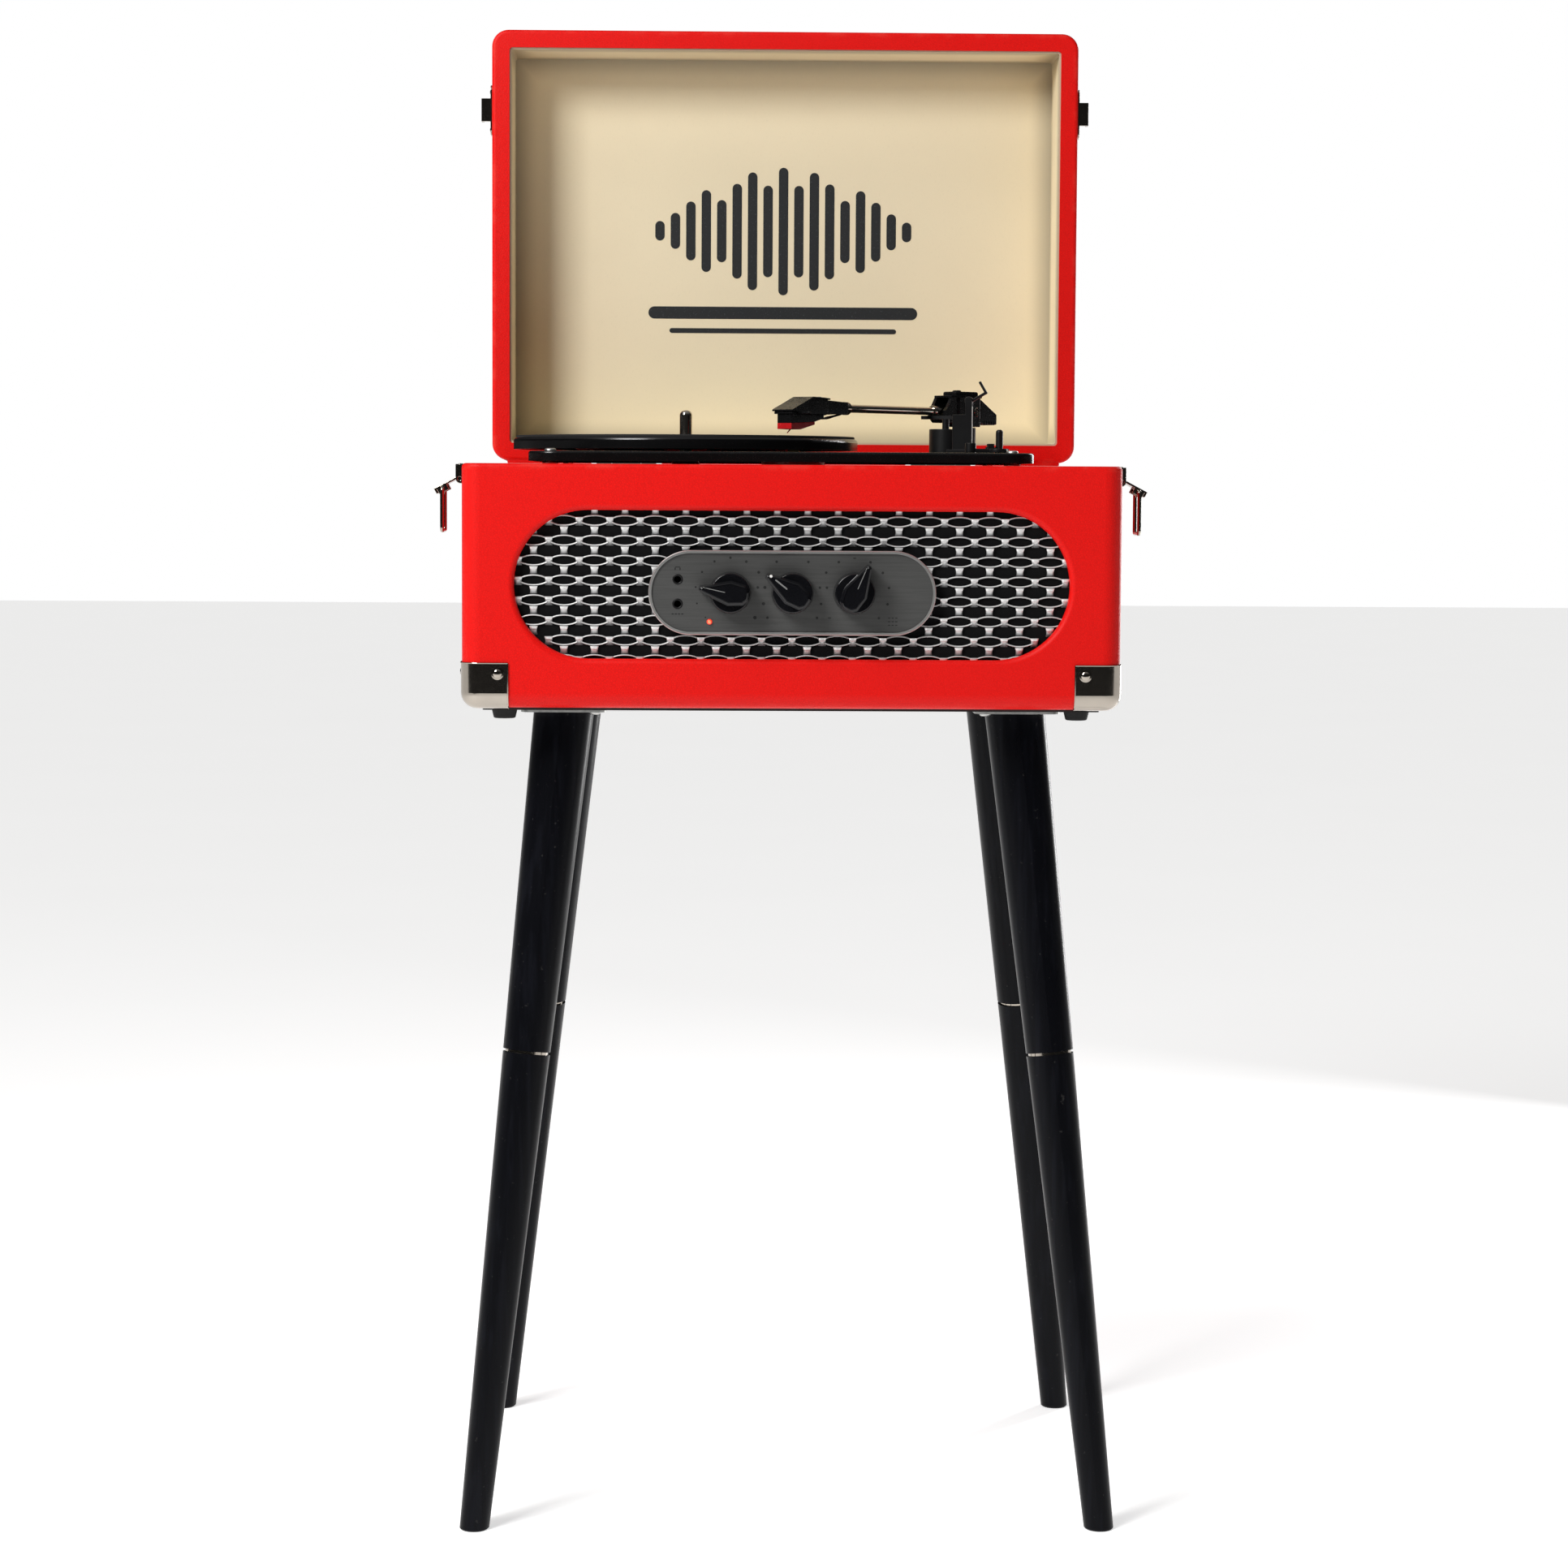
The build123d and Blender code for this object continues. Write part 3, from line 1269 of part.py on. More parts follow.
def spindle():
    shoulder = PLATTER_Z1 + MAT_T - PIN_SHOULDER
    pin = disc(SPINDLE_X, 0, shoulder - 1, RIM_Z + SPINDLE_TOP, SPINDLE_R)
    pin = fillet(pin.edges().sort_by(Axis.Z)[-1], SPINDLE_R - 0.6)
    pin += disc(SPINDLE_X, 0, RIM_Z - SPINDLE_FOOT, shoulder, BEARING_R)
    return pin + disc(SPINDLE_X, 0, CHASSIS_Z1, CHASSIS_Z1 + COLLAR_T, COLLAR_R)


# ---------------------------------------------------------------- tonearm
def cue_point():
    return (
        PIVOT_X + CUE_RADIUS * cos(radians(CUE_HEADING)),
        PIVOT_Y + CUE_RADIUS * sin(radians(CUE_HEADING)),
    )


def lever_point():
    return PIVOT_X + CUE_LEVER_DX, PIVOT_Y + CUE_LEVER_DY


def cue_lever_shaft(radius, extra=0.0):
    """Cross shaft of the cueing lever, held in the bracket beside it."""
    x, y = lever_point()
    z = RIM_Z + CUE_LEVER_PIVOT
    return barrel_x(y, z, x - 8 - extra, x - CUE_LEVER_R + 0.5, radius)


def tonearm_base():
    """Pillar, cue-lift housing and lever bracket on one moulded foot."""
    cue_x, cue_y = cue_point()
    foot_z = CHASSIS_Z1 + PILLAR_FLANGE_H
    base = disc(PIVOT_X, PIVOT_Y, CHASSIS_Z1, foot_z, PILLAR_FLANGE_R)
    base += disc(PIVOT_X, PIVOT_Y, CHASSIS_Z1, RIM_Z + PILLAR_TOP, PILLAR_R)
    base += disc(cue_x, cue_y, CHASSIS_Z1, RIM_Z + CUE_HOUSING_TOP, CUE_HOUSING_R)
    web = block((0, CUE_RADIUS), (-8, 8), (0, PILLAR_FLANGE_H))
    base += arm_place(CUE_HEADING, CHASSIS_Z1) * web
    x, y = lever_point()
    base += block((PIVOT_X, x - 3.2), (y - 4, PIVOT_Y), (CHASSIS_Z1, foot_z))
    base += block((x - 7, x - 3.2), (y - 4, y + 4), (CHASSIS_Z1, RIM_Z + CUE_LEVER_PIVOT + 3.5))
    base -= cue_lever_shaft(CUE_SHAFT_R + SHAFT_CLEAR, 1)
    base -= disc(
        cue_x, cue_y, CHASSIS_Z1 + 5, RIM_Z + CUE_HOUSING_TOP + 1, CUE_ROD_R + SHAFT_CLEAR
    )
    base -= disc(
        PIVOT_X, PIVOT_Y, RIM_Z + PILLAR_TOP - 12, RIM_Z + PILLAR_TOP + 1, TRUNNION_R + SHAFT_CLEAR
    )
    return base


def cue_lever():
    x, y = lever_point()
    low = RIM_Z + CUE_LEVER_PIVOT
    lever = disc(x, y, low, RIM_Z + CUE_LEVER_TOP, CUE_LEVER_R)
    lever = fillet(lever.edges().sort_by(Axis.Z)[-1], CUE_LEVER_R - 0.4)
    lever += Pos(x, y, low) * Sphere(CUE_LEVER_R)
    return lever + cue_lever_shaft(CUE_SHAFT_R)


def cue_platform():
    """Lift bar, an arc about the arm's pivot, on its rod."""
    cue_x, cue_y = cue_point()
    top = ARM_Z - ARM_TUBE_R - CUE_GAP
    ring = disc(PIVOT_X, PIVOT_Y, top - CUE_BAR_T, top, CUE_RADIUS + CUE_BAR_W / 2)
    ring -= disc(PIVOT_X, PIVOT_Y, top - CUE_BAR_T - 1, top + 1, CUE_RADIUS - CUE_BAR_W / 2)
    reach = CUE_RADIUS + CUE_BAR_W
    half = reach * tan(radians(CUE_SPAN / 2))
    wedge = extrude(make_face(Polyline([(0, 0), (reach, half), (reach, -half)], close=True)), 10)
    bar = ring & (arm_place(CUE_HEADING, top - 5) * wedge)
    return bar + disc(cue_x, cue_y, CHASSIS_Z1 + 8, top - CUE_BAR_T / 2, CUE_ROD_R)


def tonearm_yoke():
    """Turning yoke on the pillar, with trunnions that carry the arm."""
    floor = RIM_Z + PILLAR_TOP + 0.4
    half = YOKE_W / 2
    low = floor - ARM_Z
    top = RIM_Z + YOKE_TOP - ARM_Z
    yoke = block((-YOKE_BACK, YOKE_FRONT), (-half, half), (low, top))
    yoke = fillet(yoke.edges().filter_by(Axis.Z), 1.5)
    slot = half - YOKE_WALL
    yoke -= block((-YOKE_BACK - 1, YOKE_FRONT + 1), (-slot, slot), (low + YOKE_FLOOR, top - 1.6))
    yoke -= block((YOKE_FRONT - 7, YOKE_FRONT + 1), (-half - 1, half + 1), (low - 1, -5))
    for side in (-1, 1):
        low_y, high_y = sorted((side * (slot - TRUNNION_REACH), side * (slot + 1)))
        yoke += Pos(0, (low_y + high_y) / 2, 0) * Rot(90, 0, 0) * Cylinder(TRUNNION_R, high_y - low_y)
    yoke += Pos(0, 0, (low + low - 11) / 2 + 0.5) * Cylinder(TRUNNION_R, 12)
    yoke += Pos(3, -half + 3, top + 1) * Cylinder(2.2, 3)
    return arm_place(ARM_HEADING) * yoke


def arm_tube():
    """Hub on the trunnions, front collar and tube as one piece."""
    slot = YOKE_W / 2 - YOKE_WALL
    side = slot - 0.4
    hub = block((-5, 5), (-side, side), (-HUB_R, HUB_R))
    collar = Rot(0, 90, 0) * Cylinder(HUB_R, YOKE_FRONT + 2, align=(Align.CENTER, Align.CENTER, Align.MIN))
    plane = Plane(origin=(YOKE_FRONT + 2, 0, 0), z_dir=(1, 0, 0))
    cone = Solid.make_cone(HUB_R, COLLAR_TIP_R, COLLAR_FRONT - YOKE_FRONT - 2, plane)
    length = ARM_LENGTH - HEAD_BACK
    tube = Rot(0, 90, 0) * Cylinder(ARM_TUBE_R, length, align=(Align.CENTER, Align.CENTER, Align.MIN))
    arm = hub + collar + cone + tube
    arm -= Rot(90, 0, 0) * Cylinder(TRUNNION_R + SHAFT_CLEAR, YOKE_W)
    return arm_place(ARM_HEADING) * arm


def counterweight():
    """Weight behind the yoke, sloping down to the rear."""
    half = WEIGHT_W / 2
    start = -YOKE_BACK - 0.8
    slope = prism_y(
        [
            (start, HUB_R + 3.5),
            (start, -WEIGHT_H / 2),
            (-WEIGHT_BACK, -WEIGHT_H / 2),
            (-WEIGHT_BACK, -1),
        ],
        -half,
        half,
    )
    stub = block((start - 1, -5), (-3, 3), (-3, 3))
    return arm_place(ARM_HEADING) * (slope + stub)


def headshell():
    """Moulded shell over the cartridge, with a sloped nose and a neck on the tube."""
    front = ARM_LENGTH + HEAD_FRONT
    back = ARM_LENGTH - HEAD_BACK
    half = HEAD_W / 2
    shell = prism_y(
        [
            (back, HEAD_UP - 0.6),
            (back + 14, HEAD_UP),
            (front - 1, -1.5),
            (front, -HEAD_DOWN + 1.2),
            (front, -HEAD_DOWN),
            (back, -HEAD_DOWN),
        ],
        -half,
        half,
    )
    neck_back = ARM_LENGTH - NECK_BACK
    neck = prism_y(
        [(neck_back, 3.2), (back + 1, HEAD_UP - 0.6), (back + 1, -HEAD_DOWN), (neck_back, -3.2)],
        -NECK_W / 2,
        NECK_W / 2,
    )
    neck -= Pos(neck_back - 1, 0, 0) * Rot(0, 90, 0) * Cylinder(
        ARM_TUBE_R, NECK_BACK - HEAD_BACK + 1, align=(Align.CENTER, Align.CENTER, Align.MIN)
    )
    lift = block((front - 8, front - 5.5), (half - 0.5, half + 7), (-HEAD_DOWN, -HEAD_DOWN + 1.2))
    return arm_place(ARM_HEADING) * (shell + neck + lift)


def cartridge():
    front = ARM_LENGTH + HEAD_FRONT - 1
    back = ARM_LENGTH - HEAD_BACK + 2
    half = CARTRIDGE_W / 2
    body = prism_y(
        [
            (back, -HEAD_DOWN),
            (front, -HEAD_DOWN),
            (front, -CARTRIDGE_DOWN + 1),
            (back + 8, -CARTRIDGE_DOWN + 2),
            (back, -CARTRIDGE_DOWN + 4),
        ],
        -half,
        half,
    )
    return arm_place(ARM_HEADING) * body


def stylus():
    """Red stylus holder under the cartridge, with its fine cantilever."""
    front = ARM_LENGTH + HEAD_FRONT - 1
    back = ARM_LENGTH - HEAD_BACK + 10
    half = CARTRIDGE_W / 2
    seat = -CARTRIDGE_DOWN + 1
    rise = 1.0 / (front - back)
    holder = prism_y(
        [
            (back, seat + 1),
            (front, seat),
            (front, seat - STYLUS_BODY),
            (front - 8, seat - STYLUS_BODY - 0.2),
            (back, seat + rise - 0.6),
        ],
        -half,
        half,
    )
    tip = Plane(origin=(ARM_LENGTH, 0, -STYLUS_DROP), z_dir=(-3, 0, 2.4))
    needle = Solid.make_cone(0.25, 0.45, 4.2, tip)
    return arm_place(ARM_HEADING) * (holder + needle)


# ---------------------------------------------------------------- arm rest
def rest_place():
    """Frame at the rest: X along the parked arm, Y towards the platter, Z up."""
    heading = radians(REST_HEADING)
    return Location(Plane(
        origin=(
            PIVOT_X + REST_RADIUS * cos(heading),
            PIVOT_Y + REST_RADIUS * sin(heading),
            ARM_Z,
        ),
        x_dir=(cos(heading), sin(heading), 0),
        z_dir=(0, 0, 1),
    ))


def clip_pin():
    """Place of the clip's pin beside and above the parked tube."""
    lift = REST_RADIUS * sin(radians(CUE_LIFT))
    return ARM_TUBE_R + 3.4, ARM_TUBE_R + lift + CLIP_GAP


def arm_rest():
    """Post with an open shelf under the parked arm and ears for the clip."""
    shelf = -ARM_TUBE_R - REST_GAP
    foot = CHASSIS_Z1 - ARM_Z
    out, up = clip_pin()
    half = REST_L / 2
    post = block((-half, half), (-ARM_TUBE_R - 1, out + 2), (foot, shelf))
    post += block((-half - 3, half + 3), (-ARM_TUBE_R - 4, out + 4), (foot, foot + 2.5))
    gap = CLIP_L / 2 + 0.3
    ear = block((-half, half), (out - 1.8, out + 2), (shelf - 1, up + 1.8))
    ear -= block((-gap, gap), (out - 3, out + 3), (up - 3, up + 3))
    return rest_place() * (post + ear + clip_pin_solid(out, up))


def clip_pin_solid(out, up, radius=CLIP_PIN_R, length=REST_L):
    return Pos(0, out, up) * Rot(0, 90, 0) * Cylinder(radius, length)


def arm_clip():
    """Clip over the parked arm, stored folded out to the side."""
    out, up = clip_pin()
    half = CLIP_L / 2
    tip = -ARM_TUBE_R - 1.9
    clip = clip_pin_solid(out, up, CLIP_PIN_R + CLIP_T, CLIP_L)
    clip += block((-half, half), (tip - CLIP_T, out), (up + 0.2, up + 0.2 + CLIP_T))
    clip += block((-half, half), (tip - CLIP_T, tip), (-1.2, up + 0.2 + CLIP_T))
    clip -= clip_pin_solid(out, up, CLIP_PIN_R + SHAFT_CLEAR, CLIP_L + 2)
    clip = clip.rotate(Axis((0, out, up), (1, 0, 0)), -CLIP_OPEN)
    return rest_place() * clip


# ---------------------------------------------------------------- small controls
def speed_lever():
    """Speed selector: a finger lever that turns on a stud."""
    x, y = speed_point()
    low = CHASSIS_Z1 + 0.4
    lever = disc(x, y, low, low + 2, 5)
    lever += block((x - SPEED_ARM, x), (y - 2, y + 2), (low, low + 2))
    lever += disc(x - SPEED_ARM, y, low, low + 5, 3)
    return lever + disc(x, y, PLATE_UNDER_Z, low + 1, SPEED_STUD_R)


def auto_stop_switch():
    """Sliding button that turns the end-of-record stop on and off."""
    x, y = stop_point()
    low = CHASSIS_Z1 + 0.35
    button = block((x - STOP_W / 2, x + STOP_W / 2), (y - STOP_L / 2, y + STOP_L / 2), (low, low + 2.4))
    button = fillet(button.edges().filter_by(Axis.Z), 1)
    neck = STOP_W / 2 - 0.8
    return button + block((x - neck, x + neck), (y - 2, y + 2), (PLATE_UNDER_Z + 0.3, low + 1))


# ---------------------------------------------------------------- all the nodes
knob_x = dict(zip(POINTERS, (-KNOB_PITCH, 0.0, KNOB_PITCH)))
nodes.update({
    "case_body": case_body(),
    "bottom_panel": bottom_panel(),
    "deck_panel": deck_panel(),
    "grille_mesh": grille_mesh(),
    "grille_cloth": grille_cloth(),
    "speaker_baffle": speaker_baffle(),
    "speakers": speakers(),
    "control_plate": control_plate(),
    "headphone_jacks": headphone_jacks(),
    "led_lens": led_lens(),
    "amplifier_board": amplifier_board(),
    "potentiometers": potentiometers(),
    "rear_plate": rear_plate(),
    "rear_sockets": rear_sockets(),
    "rubber_feet": rubber_feet(),
    "base_corner_guards": base_corner_guards(),
    "case_screws": case_screws(),
    "upper_legs": upper_legs(),
    "lower_legs": lower_legs(),
    "leg_rings": leg_rings(),
    "leg_studs": leg_studs(),
    "leg_mount_plates": leg_mount_plates(),
    "hinge_case_leaves": hinge_case_leaves(),
    "pivot_pins": pivot_pins(),
    "latch_bases": latch_bases(),
    "chassis": chassis(),
    "suspension_springs": suspension_springs(),
    "chassis_screws": chassis_screws(),
    "drive_motor": drive_motor(),
    "motor_pulley": motor_pulley(),
    "drive_belt": drive_belt(),
    "platter": platter(),
    "platter_bush": platter_bush(),
    "platter_mat": platter_mat(),
    "spindle": spindle(),
    "tonearm_base": tonearm_base(),
    "cue_lever": cue_lever(),
    "cue_platform": cue_platform(),
    "tonearm_yoke": tonearm_yoke(),
    "arm_tube": arm_tube(),
    "counterweight": counterweight(),
    "headshell": headshell(),
    "cartridge": cartridge(),
    "stylus": stylus(),
    "arm_rest": arm_rest(),
    "arm_clip": arm_clip(),
    "speed_lever": speed_lever(),
    "auto_stop_switch": auto_stop_switch(),
})
for name, heading in POINTERS.items():
    nodes[name] = knob(knob_x[name], heading)
for name, shape in {"latch_lever": latch_lever(), "latch_loop": latch_loop()}.items():
    right, left = both_sides(shape)
    nodes[name + "_right"] = right
    nodes[name + "_left"] = left
for name, shape in {
    "lid_shell": lid_shell(),
    "lid_lining": lid_lining(),
    "lid_catches": lid_catches(),
    "lid_corner_guards": lid_corner_guards(),
    "hinge_lid_leaves": hinge_lid_leaves(),
}.items():
    nodes[name] = open_lid(shape)

# ---------------------------------------------------------------- shared origin and files
whole = Compound([solid for shape in nodes.values() for solid in shape.solids()]).bounding_box()
SHIFT = Vector(-(whole.min.X + whole.max.X) / 2, -(whole.min.Y + whole.max.Y) / 2, -whole.min.Z)
for name, shape in nodes.items():
    export_step(Pos(SHIFT) * lone([shape]), os.path.join("parts", name + ".step"))
print(len(nodes), "nodes, origin moved by", SHIFT)
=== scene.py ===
import json
import math

import bmesh
import bpy
from bpy.props import FloatProperty, FloatVectorProperty, IntProperty, PointerProperty
from bpy.types import Operator, Panel, PropertyGroup
from mathutils import Matrix, Vector

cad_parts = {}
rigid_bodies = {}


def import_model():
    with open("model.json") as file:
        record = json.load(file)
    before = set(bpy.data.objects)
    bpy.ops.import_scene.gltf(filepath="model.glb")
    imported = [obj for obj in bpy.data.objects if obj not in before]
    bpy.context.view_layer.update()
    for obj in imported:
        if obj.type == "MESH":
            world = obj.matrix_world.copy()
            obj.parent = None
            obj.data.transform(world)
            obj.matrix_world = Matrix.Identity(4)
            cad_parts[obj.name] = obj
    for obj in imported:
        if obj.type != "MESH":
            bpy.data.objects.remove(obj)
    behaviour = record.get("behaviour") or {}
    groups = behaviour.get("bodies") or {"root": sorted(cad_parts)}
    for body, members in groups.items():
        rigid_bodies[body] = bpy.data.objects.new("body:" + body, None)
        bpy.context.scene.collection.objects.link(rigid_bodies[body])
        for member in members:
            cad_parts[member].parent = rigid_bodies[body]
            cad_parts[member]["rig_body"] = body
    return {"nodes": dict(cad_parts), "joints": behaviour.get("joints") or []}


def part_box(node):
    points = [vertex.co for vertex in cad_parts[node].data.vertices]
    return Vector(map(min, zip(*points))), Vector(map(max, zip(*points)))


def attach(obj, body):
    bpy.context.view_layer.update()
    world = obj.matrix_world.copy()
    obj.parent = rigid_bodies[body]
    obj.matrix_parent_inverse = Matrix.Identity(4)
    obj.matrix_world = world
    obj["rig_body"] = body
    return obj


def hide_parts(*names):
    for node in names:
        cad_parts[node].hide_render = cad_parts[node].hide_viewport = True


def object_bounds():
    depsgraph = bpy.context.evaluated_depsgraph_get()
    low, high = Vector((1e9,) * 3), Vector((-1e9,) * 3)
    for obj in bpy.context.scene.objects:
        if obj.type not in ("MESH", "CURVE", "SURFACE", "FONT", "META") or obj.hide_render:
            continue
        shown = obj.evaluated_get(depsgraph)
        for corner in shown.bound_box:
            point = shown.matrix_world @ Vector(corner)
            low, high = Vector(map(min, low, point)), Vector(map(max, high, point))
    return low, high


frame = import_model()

bl_info = {
    "name": "Suitcase Record Player",
    "version": (1, 0, 0),
    "blender": (4, 5, 0),
    "location": "View3D > Sidebar > Record Player",
    "description": "Finishes and fine pieces for a suitcase record player on four legs",
    "category": "Object",
}

CAD_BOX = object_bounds()
MM = 0.001
SAME_POINT = 2e-6  # points of a mesh closer than this are one
DECK_SCREW = (3.2 * MM, 1.4 * MM)  # radius and height of the head
HINGE_SCREW = (2.0 * MM, 0.8 * MM)
UP = Vector((0, 0, 1))
FORWARD = Vector((0, -1, 0))


# ---------------------------------------------------------------- settings
class CoveringSettings(PropertyGroup):
    leather: FloatVectorProperty(
        name="Leatherette", description="Colour of the covering of case and lid",
        default=(0.80, 0.0065, 0.0045), subtype="COLOR", min=0, max=1)
    lining: FloatVectorProperty(
        name="Lining", description="Colour of the paper inside the lid",
        default=(0.90, 0.79, 0.56), subtype="COLOR", min=0, max=1)
    print_colour: FloatVectorProperty(
        name="Print", description="Colour of the motif on the lining",
        default=(0.018, 0.02, 0.022), subtype="COLOR", min=0, max=1)
    lacquer: FloatVectorProperty(
        name="Lacquer", description="Colour of the legs",
        default=(0.0026, 0.0028, 0.0042), subtype="COLOR", min=0, max=1)
    pebble: FloatProperty(
        name="Pebble", description="Width of one pebble of the covering's grain",
        default=1.1 * MM, unit="LENGTH", precision=5)
    wear: FloatProperty(
        name="Wear", description="How far edges are rubbed", default=0.5, min=0, max=1)
    seam: FloatProperty(
        name="Seam", description="Width of the overlap where the covering ends meet",
        default=13 * MM, unit="LENGTH", precision=5)


class GrilleSettings(PropertyGroup):
    across: FloatProperty(
        name="Pitch across", description="From one opening to the next along a row",
        default=16.2 * MM, unit="LENGTH", precision=5)
    rise: FloatProperty(
        name="Pitch up", description="From one row to the next like it",
        default=10.6 * MM, unit="LENGTH", precision=5)
    strand: FloatProperty(
        name="Strand", description="Width of a strand seen from the front",
        default=0.85 * MM, unit="LENGTH", precision=5)
    bond_width: FloatProperty(
        name="Bond width", description="Width where two strands join",
        default=3.6 * MM, unit="LENGTH", precision=5)
    bond_height: FloatProperty(
        name="Bond height", description="Height where two strands join",
        default=4.7 * MM, unit="LENGTH", precision=5)
    bow: FloatProperty(
        name="Bow", description="Rise of a strand between its bonds",
        default=2.6 * MM, unit="LENGTH", precision=5)


class ControlSettings(PropertyGroup):
    plate: FloatVectorProperty(
        name="Plate", description="Colour of the anodised control plate",
        default=(0.088, 0.088, 0.086), subtype="COLOR", min=0, max=1)
    dial: FloatProperty(
        name="Dial radius", description="Ring of marks round each knob",
        default=18.6 * MM, unit="LENGTH", precision=5)
    dot: FloatProperty(
        name="Dot radius", description="Largest mark of a dial",
        default=0.92 * MM, unit="LENGTH", precision=5)
    marks: IntProperty(
        name="Marks", description="Number of marks on a dial", default=11, min=2)
    lamp: FloatProperty(
        name="Lamp glow", description="Brightness of the power lamp", default=1.4, min=0)


class TurntableSettings(PropertyGroup):
    ring_pitch: FloatProperty(
        name="Mat ring pitch", description="From one raised ring of the mat to the next",
        default=2.6 * MM, unit="LENGTH", precision=5)
    ring_rise: FloatProperty(
        name="Mat ring height", description="Height of a raised ring",
        default=0.4 * MM, unit="LENGTH", precision=5)
    soft_edge: FloatProperty(
        name="Moulded edge", description="Rounding of moulded edges",
        default=0.35 * MM, unit="LENGTH", precision=5)
    lead: FloatProperty(
        name="Lead radius", description="Radius of the cartridge's wires",
        default=0.32 * MM, unit="LENGTH", precision=5)


class StudioSettings(PropertyGroup):
    eye: FloatVectorProperty(
        name="Camera place", description="Where the camera stands",
        default=(-0.0404, -1.9883, 0.5667), subtype="TRANSLATION", unit="LENGTH")
    heading: FloatVectorProperty(
        name="Camera turn", description="Yaw to the right, pitch up and roll, as angles",
        default=(math.radians(1.134), math.radians(-4.203), math.radians(0.315)),
        subtype="EULER", unit="ROTATION")
    lens: FloatProperty(
        name="Lens", description="Focal length in millimetres on a 36 mm sensor",
        default=79.375, min=1)
    shift: FloatProperty(
        name="Shift", description="Upright shift of the view", default=-0.031)
    floor: FloatProperty(
        name="Floor", description="Half width of the floor", default=14.0, unit="LENGTH")
    floor_front: FloatProperty(
        name="Floor in front", description="How far the floor comes forward",
        default=2.4, unit="LENGTH")
    floor_glow: FloatProperty(
        name="Floor glow", description="Light from below through the floor",
        default=0.5, min=0)
    sun: FloatProperty(
        name="Key light", description="Strength of the broad light from the upper left",
        default=1.0, min=0)
    sun_turn: FloatProperty(
        name="Key turn", description="Angle of the key light from the front to the left",
        default=math.radians(52), unit="ROTATION")
    sun_rise: FloatProperty(
        name="Key rise", description="Height of the key light as an angle",
        default=math.radians(54), unit="ROTATION")
    sun_size: FloatProperty(
        name="Key softness", description="Breadth of the key light as an angle",
        default=math.radians(24), unit="ROTATION")
    room: FloatProperty(
        name="Room light", description="Level of the light from all round",
        default=0.15, min=0)
    window: FloatProperty(
        name="Left panel", description="Power of the near light panel at the left",
        default=19.0, min=0)
    strip: FloatProperty(
        name="Right strip", description="Power of the tall strip behind at the right",
        default=9.0, min=0)


# ---------------------------------------------------------------- shader values
class Value:
    """A shader socket that can stand in a Python sum; each operator adds its Math node."""

    def __init__(self, nodes, socket):
        self.nodes = nodes
        self.socket = socket

    def math(self, operation, *parts):
        return self.nodes.add(
            "ShaderNodeMath", {"operation": operation}, dict(enumerate(parts)))

    def __add__(self, other):
        return self.math("ADD", self, other)

    __radd__ = __add__

    def __sub__(self, other):
        return self.math("SUBTRACT", self, other)

    def __rsub__(self, other):
        return self.math("SUBTRACT", other, self)

    def __mul__(self, other):
        return self.math("MULTIPLY", self, other)

    __rmul__ = __mul__

    def __truediv__(self, other):
        return self.math("DIVIDE", self, other)

    def __rtruediv__(self, other):
        return self.math("DIVIDE", other, self)

    def __pow__(self, other):
        return self.math("POWER", self, other)

    def __abs__(self):
        return self.math("ABSOLUTE", self)

    def least(self, other):
        return self.math("MINIMUM", self, other)

    def most(self, other):
        return self.math("MAXIMUM", self, other)

    def wave(self):
        return self.math("SINE", self)

    def step(self, low, high):
        """Smooth climb from 0 to 1 as the value goes from low to high."""
        return self.nodes.add(
            "ShaderNodeMapRange", {"interpolation_type": "SMOOTHSTEP"},
            {0: self, 1: low, 2: high, 3: 0.0, 4: 1.0})


class Nodes:
    """The shader nodes of a material or of the surroundings."""

    def __init__(self, owner):
        owner.use_nodes = True
        self.tree = owner.node_tree

    def feed(self, socket, value):
        if isinstance(value, Value):
            self.tree.links.new(value.socket, socket)
        elif socket.type == "RGBA":
            socket.default_value = (*value, 1.0)
        else:
            socket.default_value = value

    def add(self, kind, settings=None, inputs=None, output=0):
        """Add any node: its settings first, then the values or links of its sockets."""
        node = self.tree.nodes.new(kind)
        for key, value in (settings or {}).items():
            if key == "stops":
                elements = node.color_ramp.elements
                elements.remove(elements[-1])
                for place, (position, colour) in enumerate(value):
                    stop = elements.new(position) if place else elements[0]
                    stop.position = position
                    stop.color = (*colour, 1.0)
            else:
                setattr(node, key, value)
        for key, value in (inputs or {}).items():
            self.feed(node.inputs[key], value)
        return Value(self, node.outputs[output])

    def parts(self, vector):
        """The x, y and z of a vector as separate values."""
        node = self.add("ShaderNodeSeparateXYZ", None, {0: vector}).socket.node
        return [Value(self, socket) for socket in node.outputs]


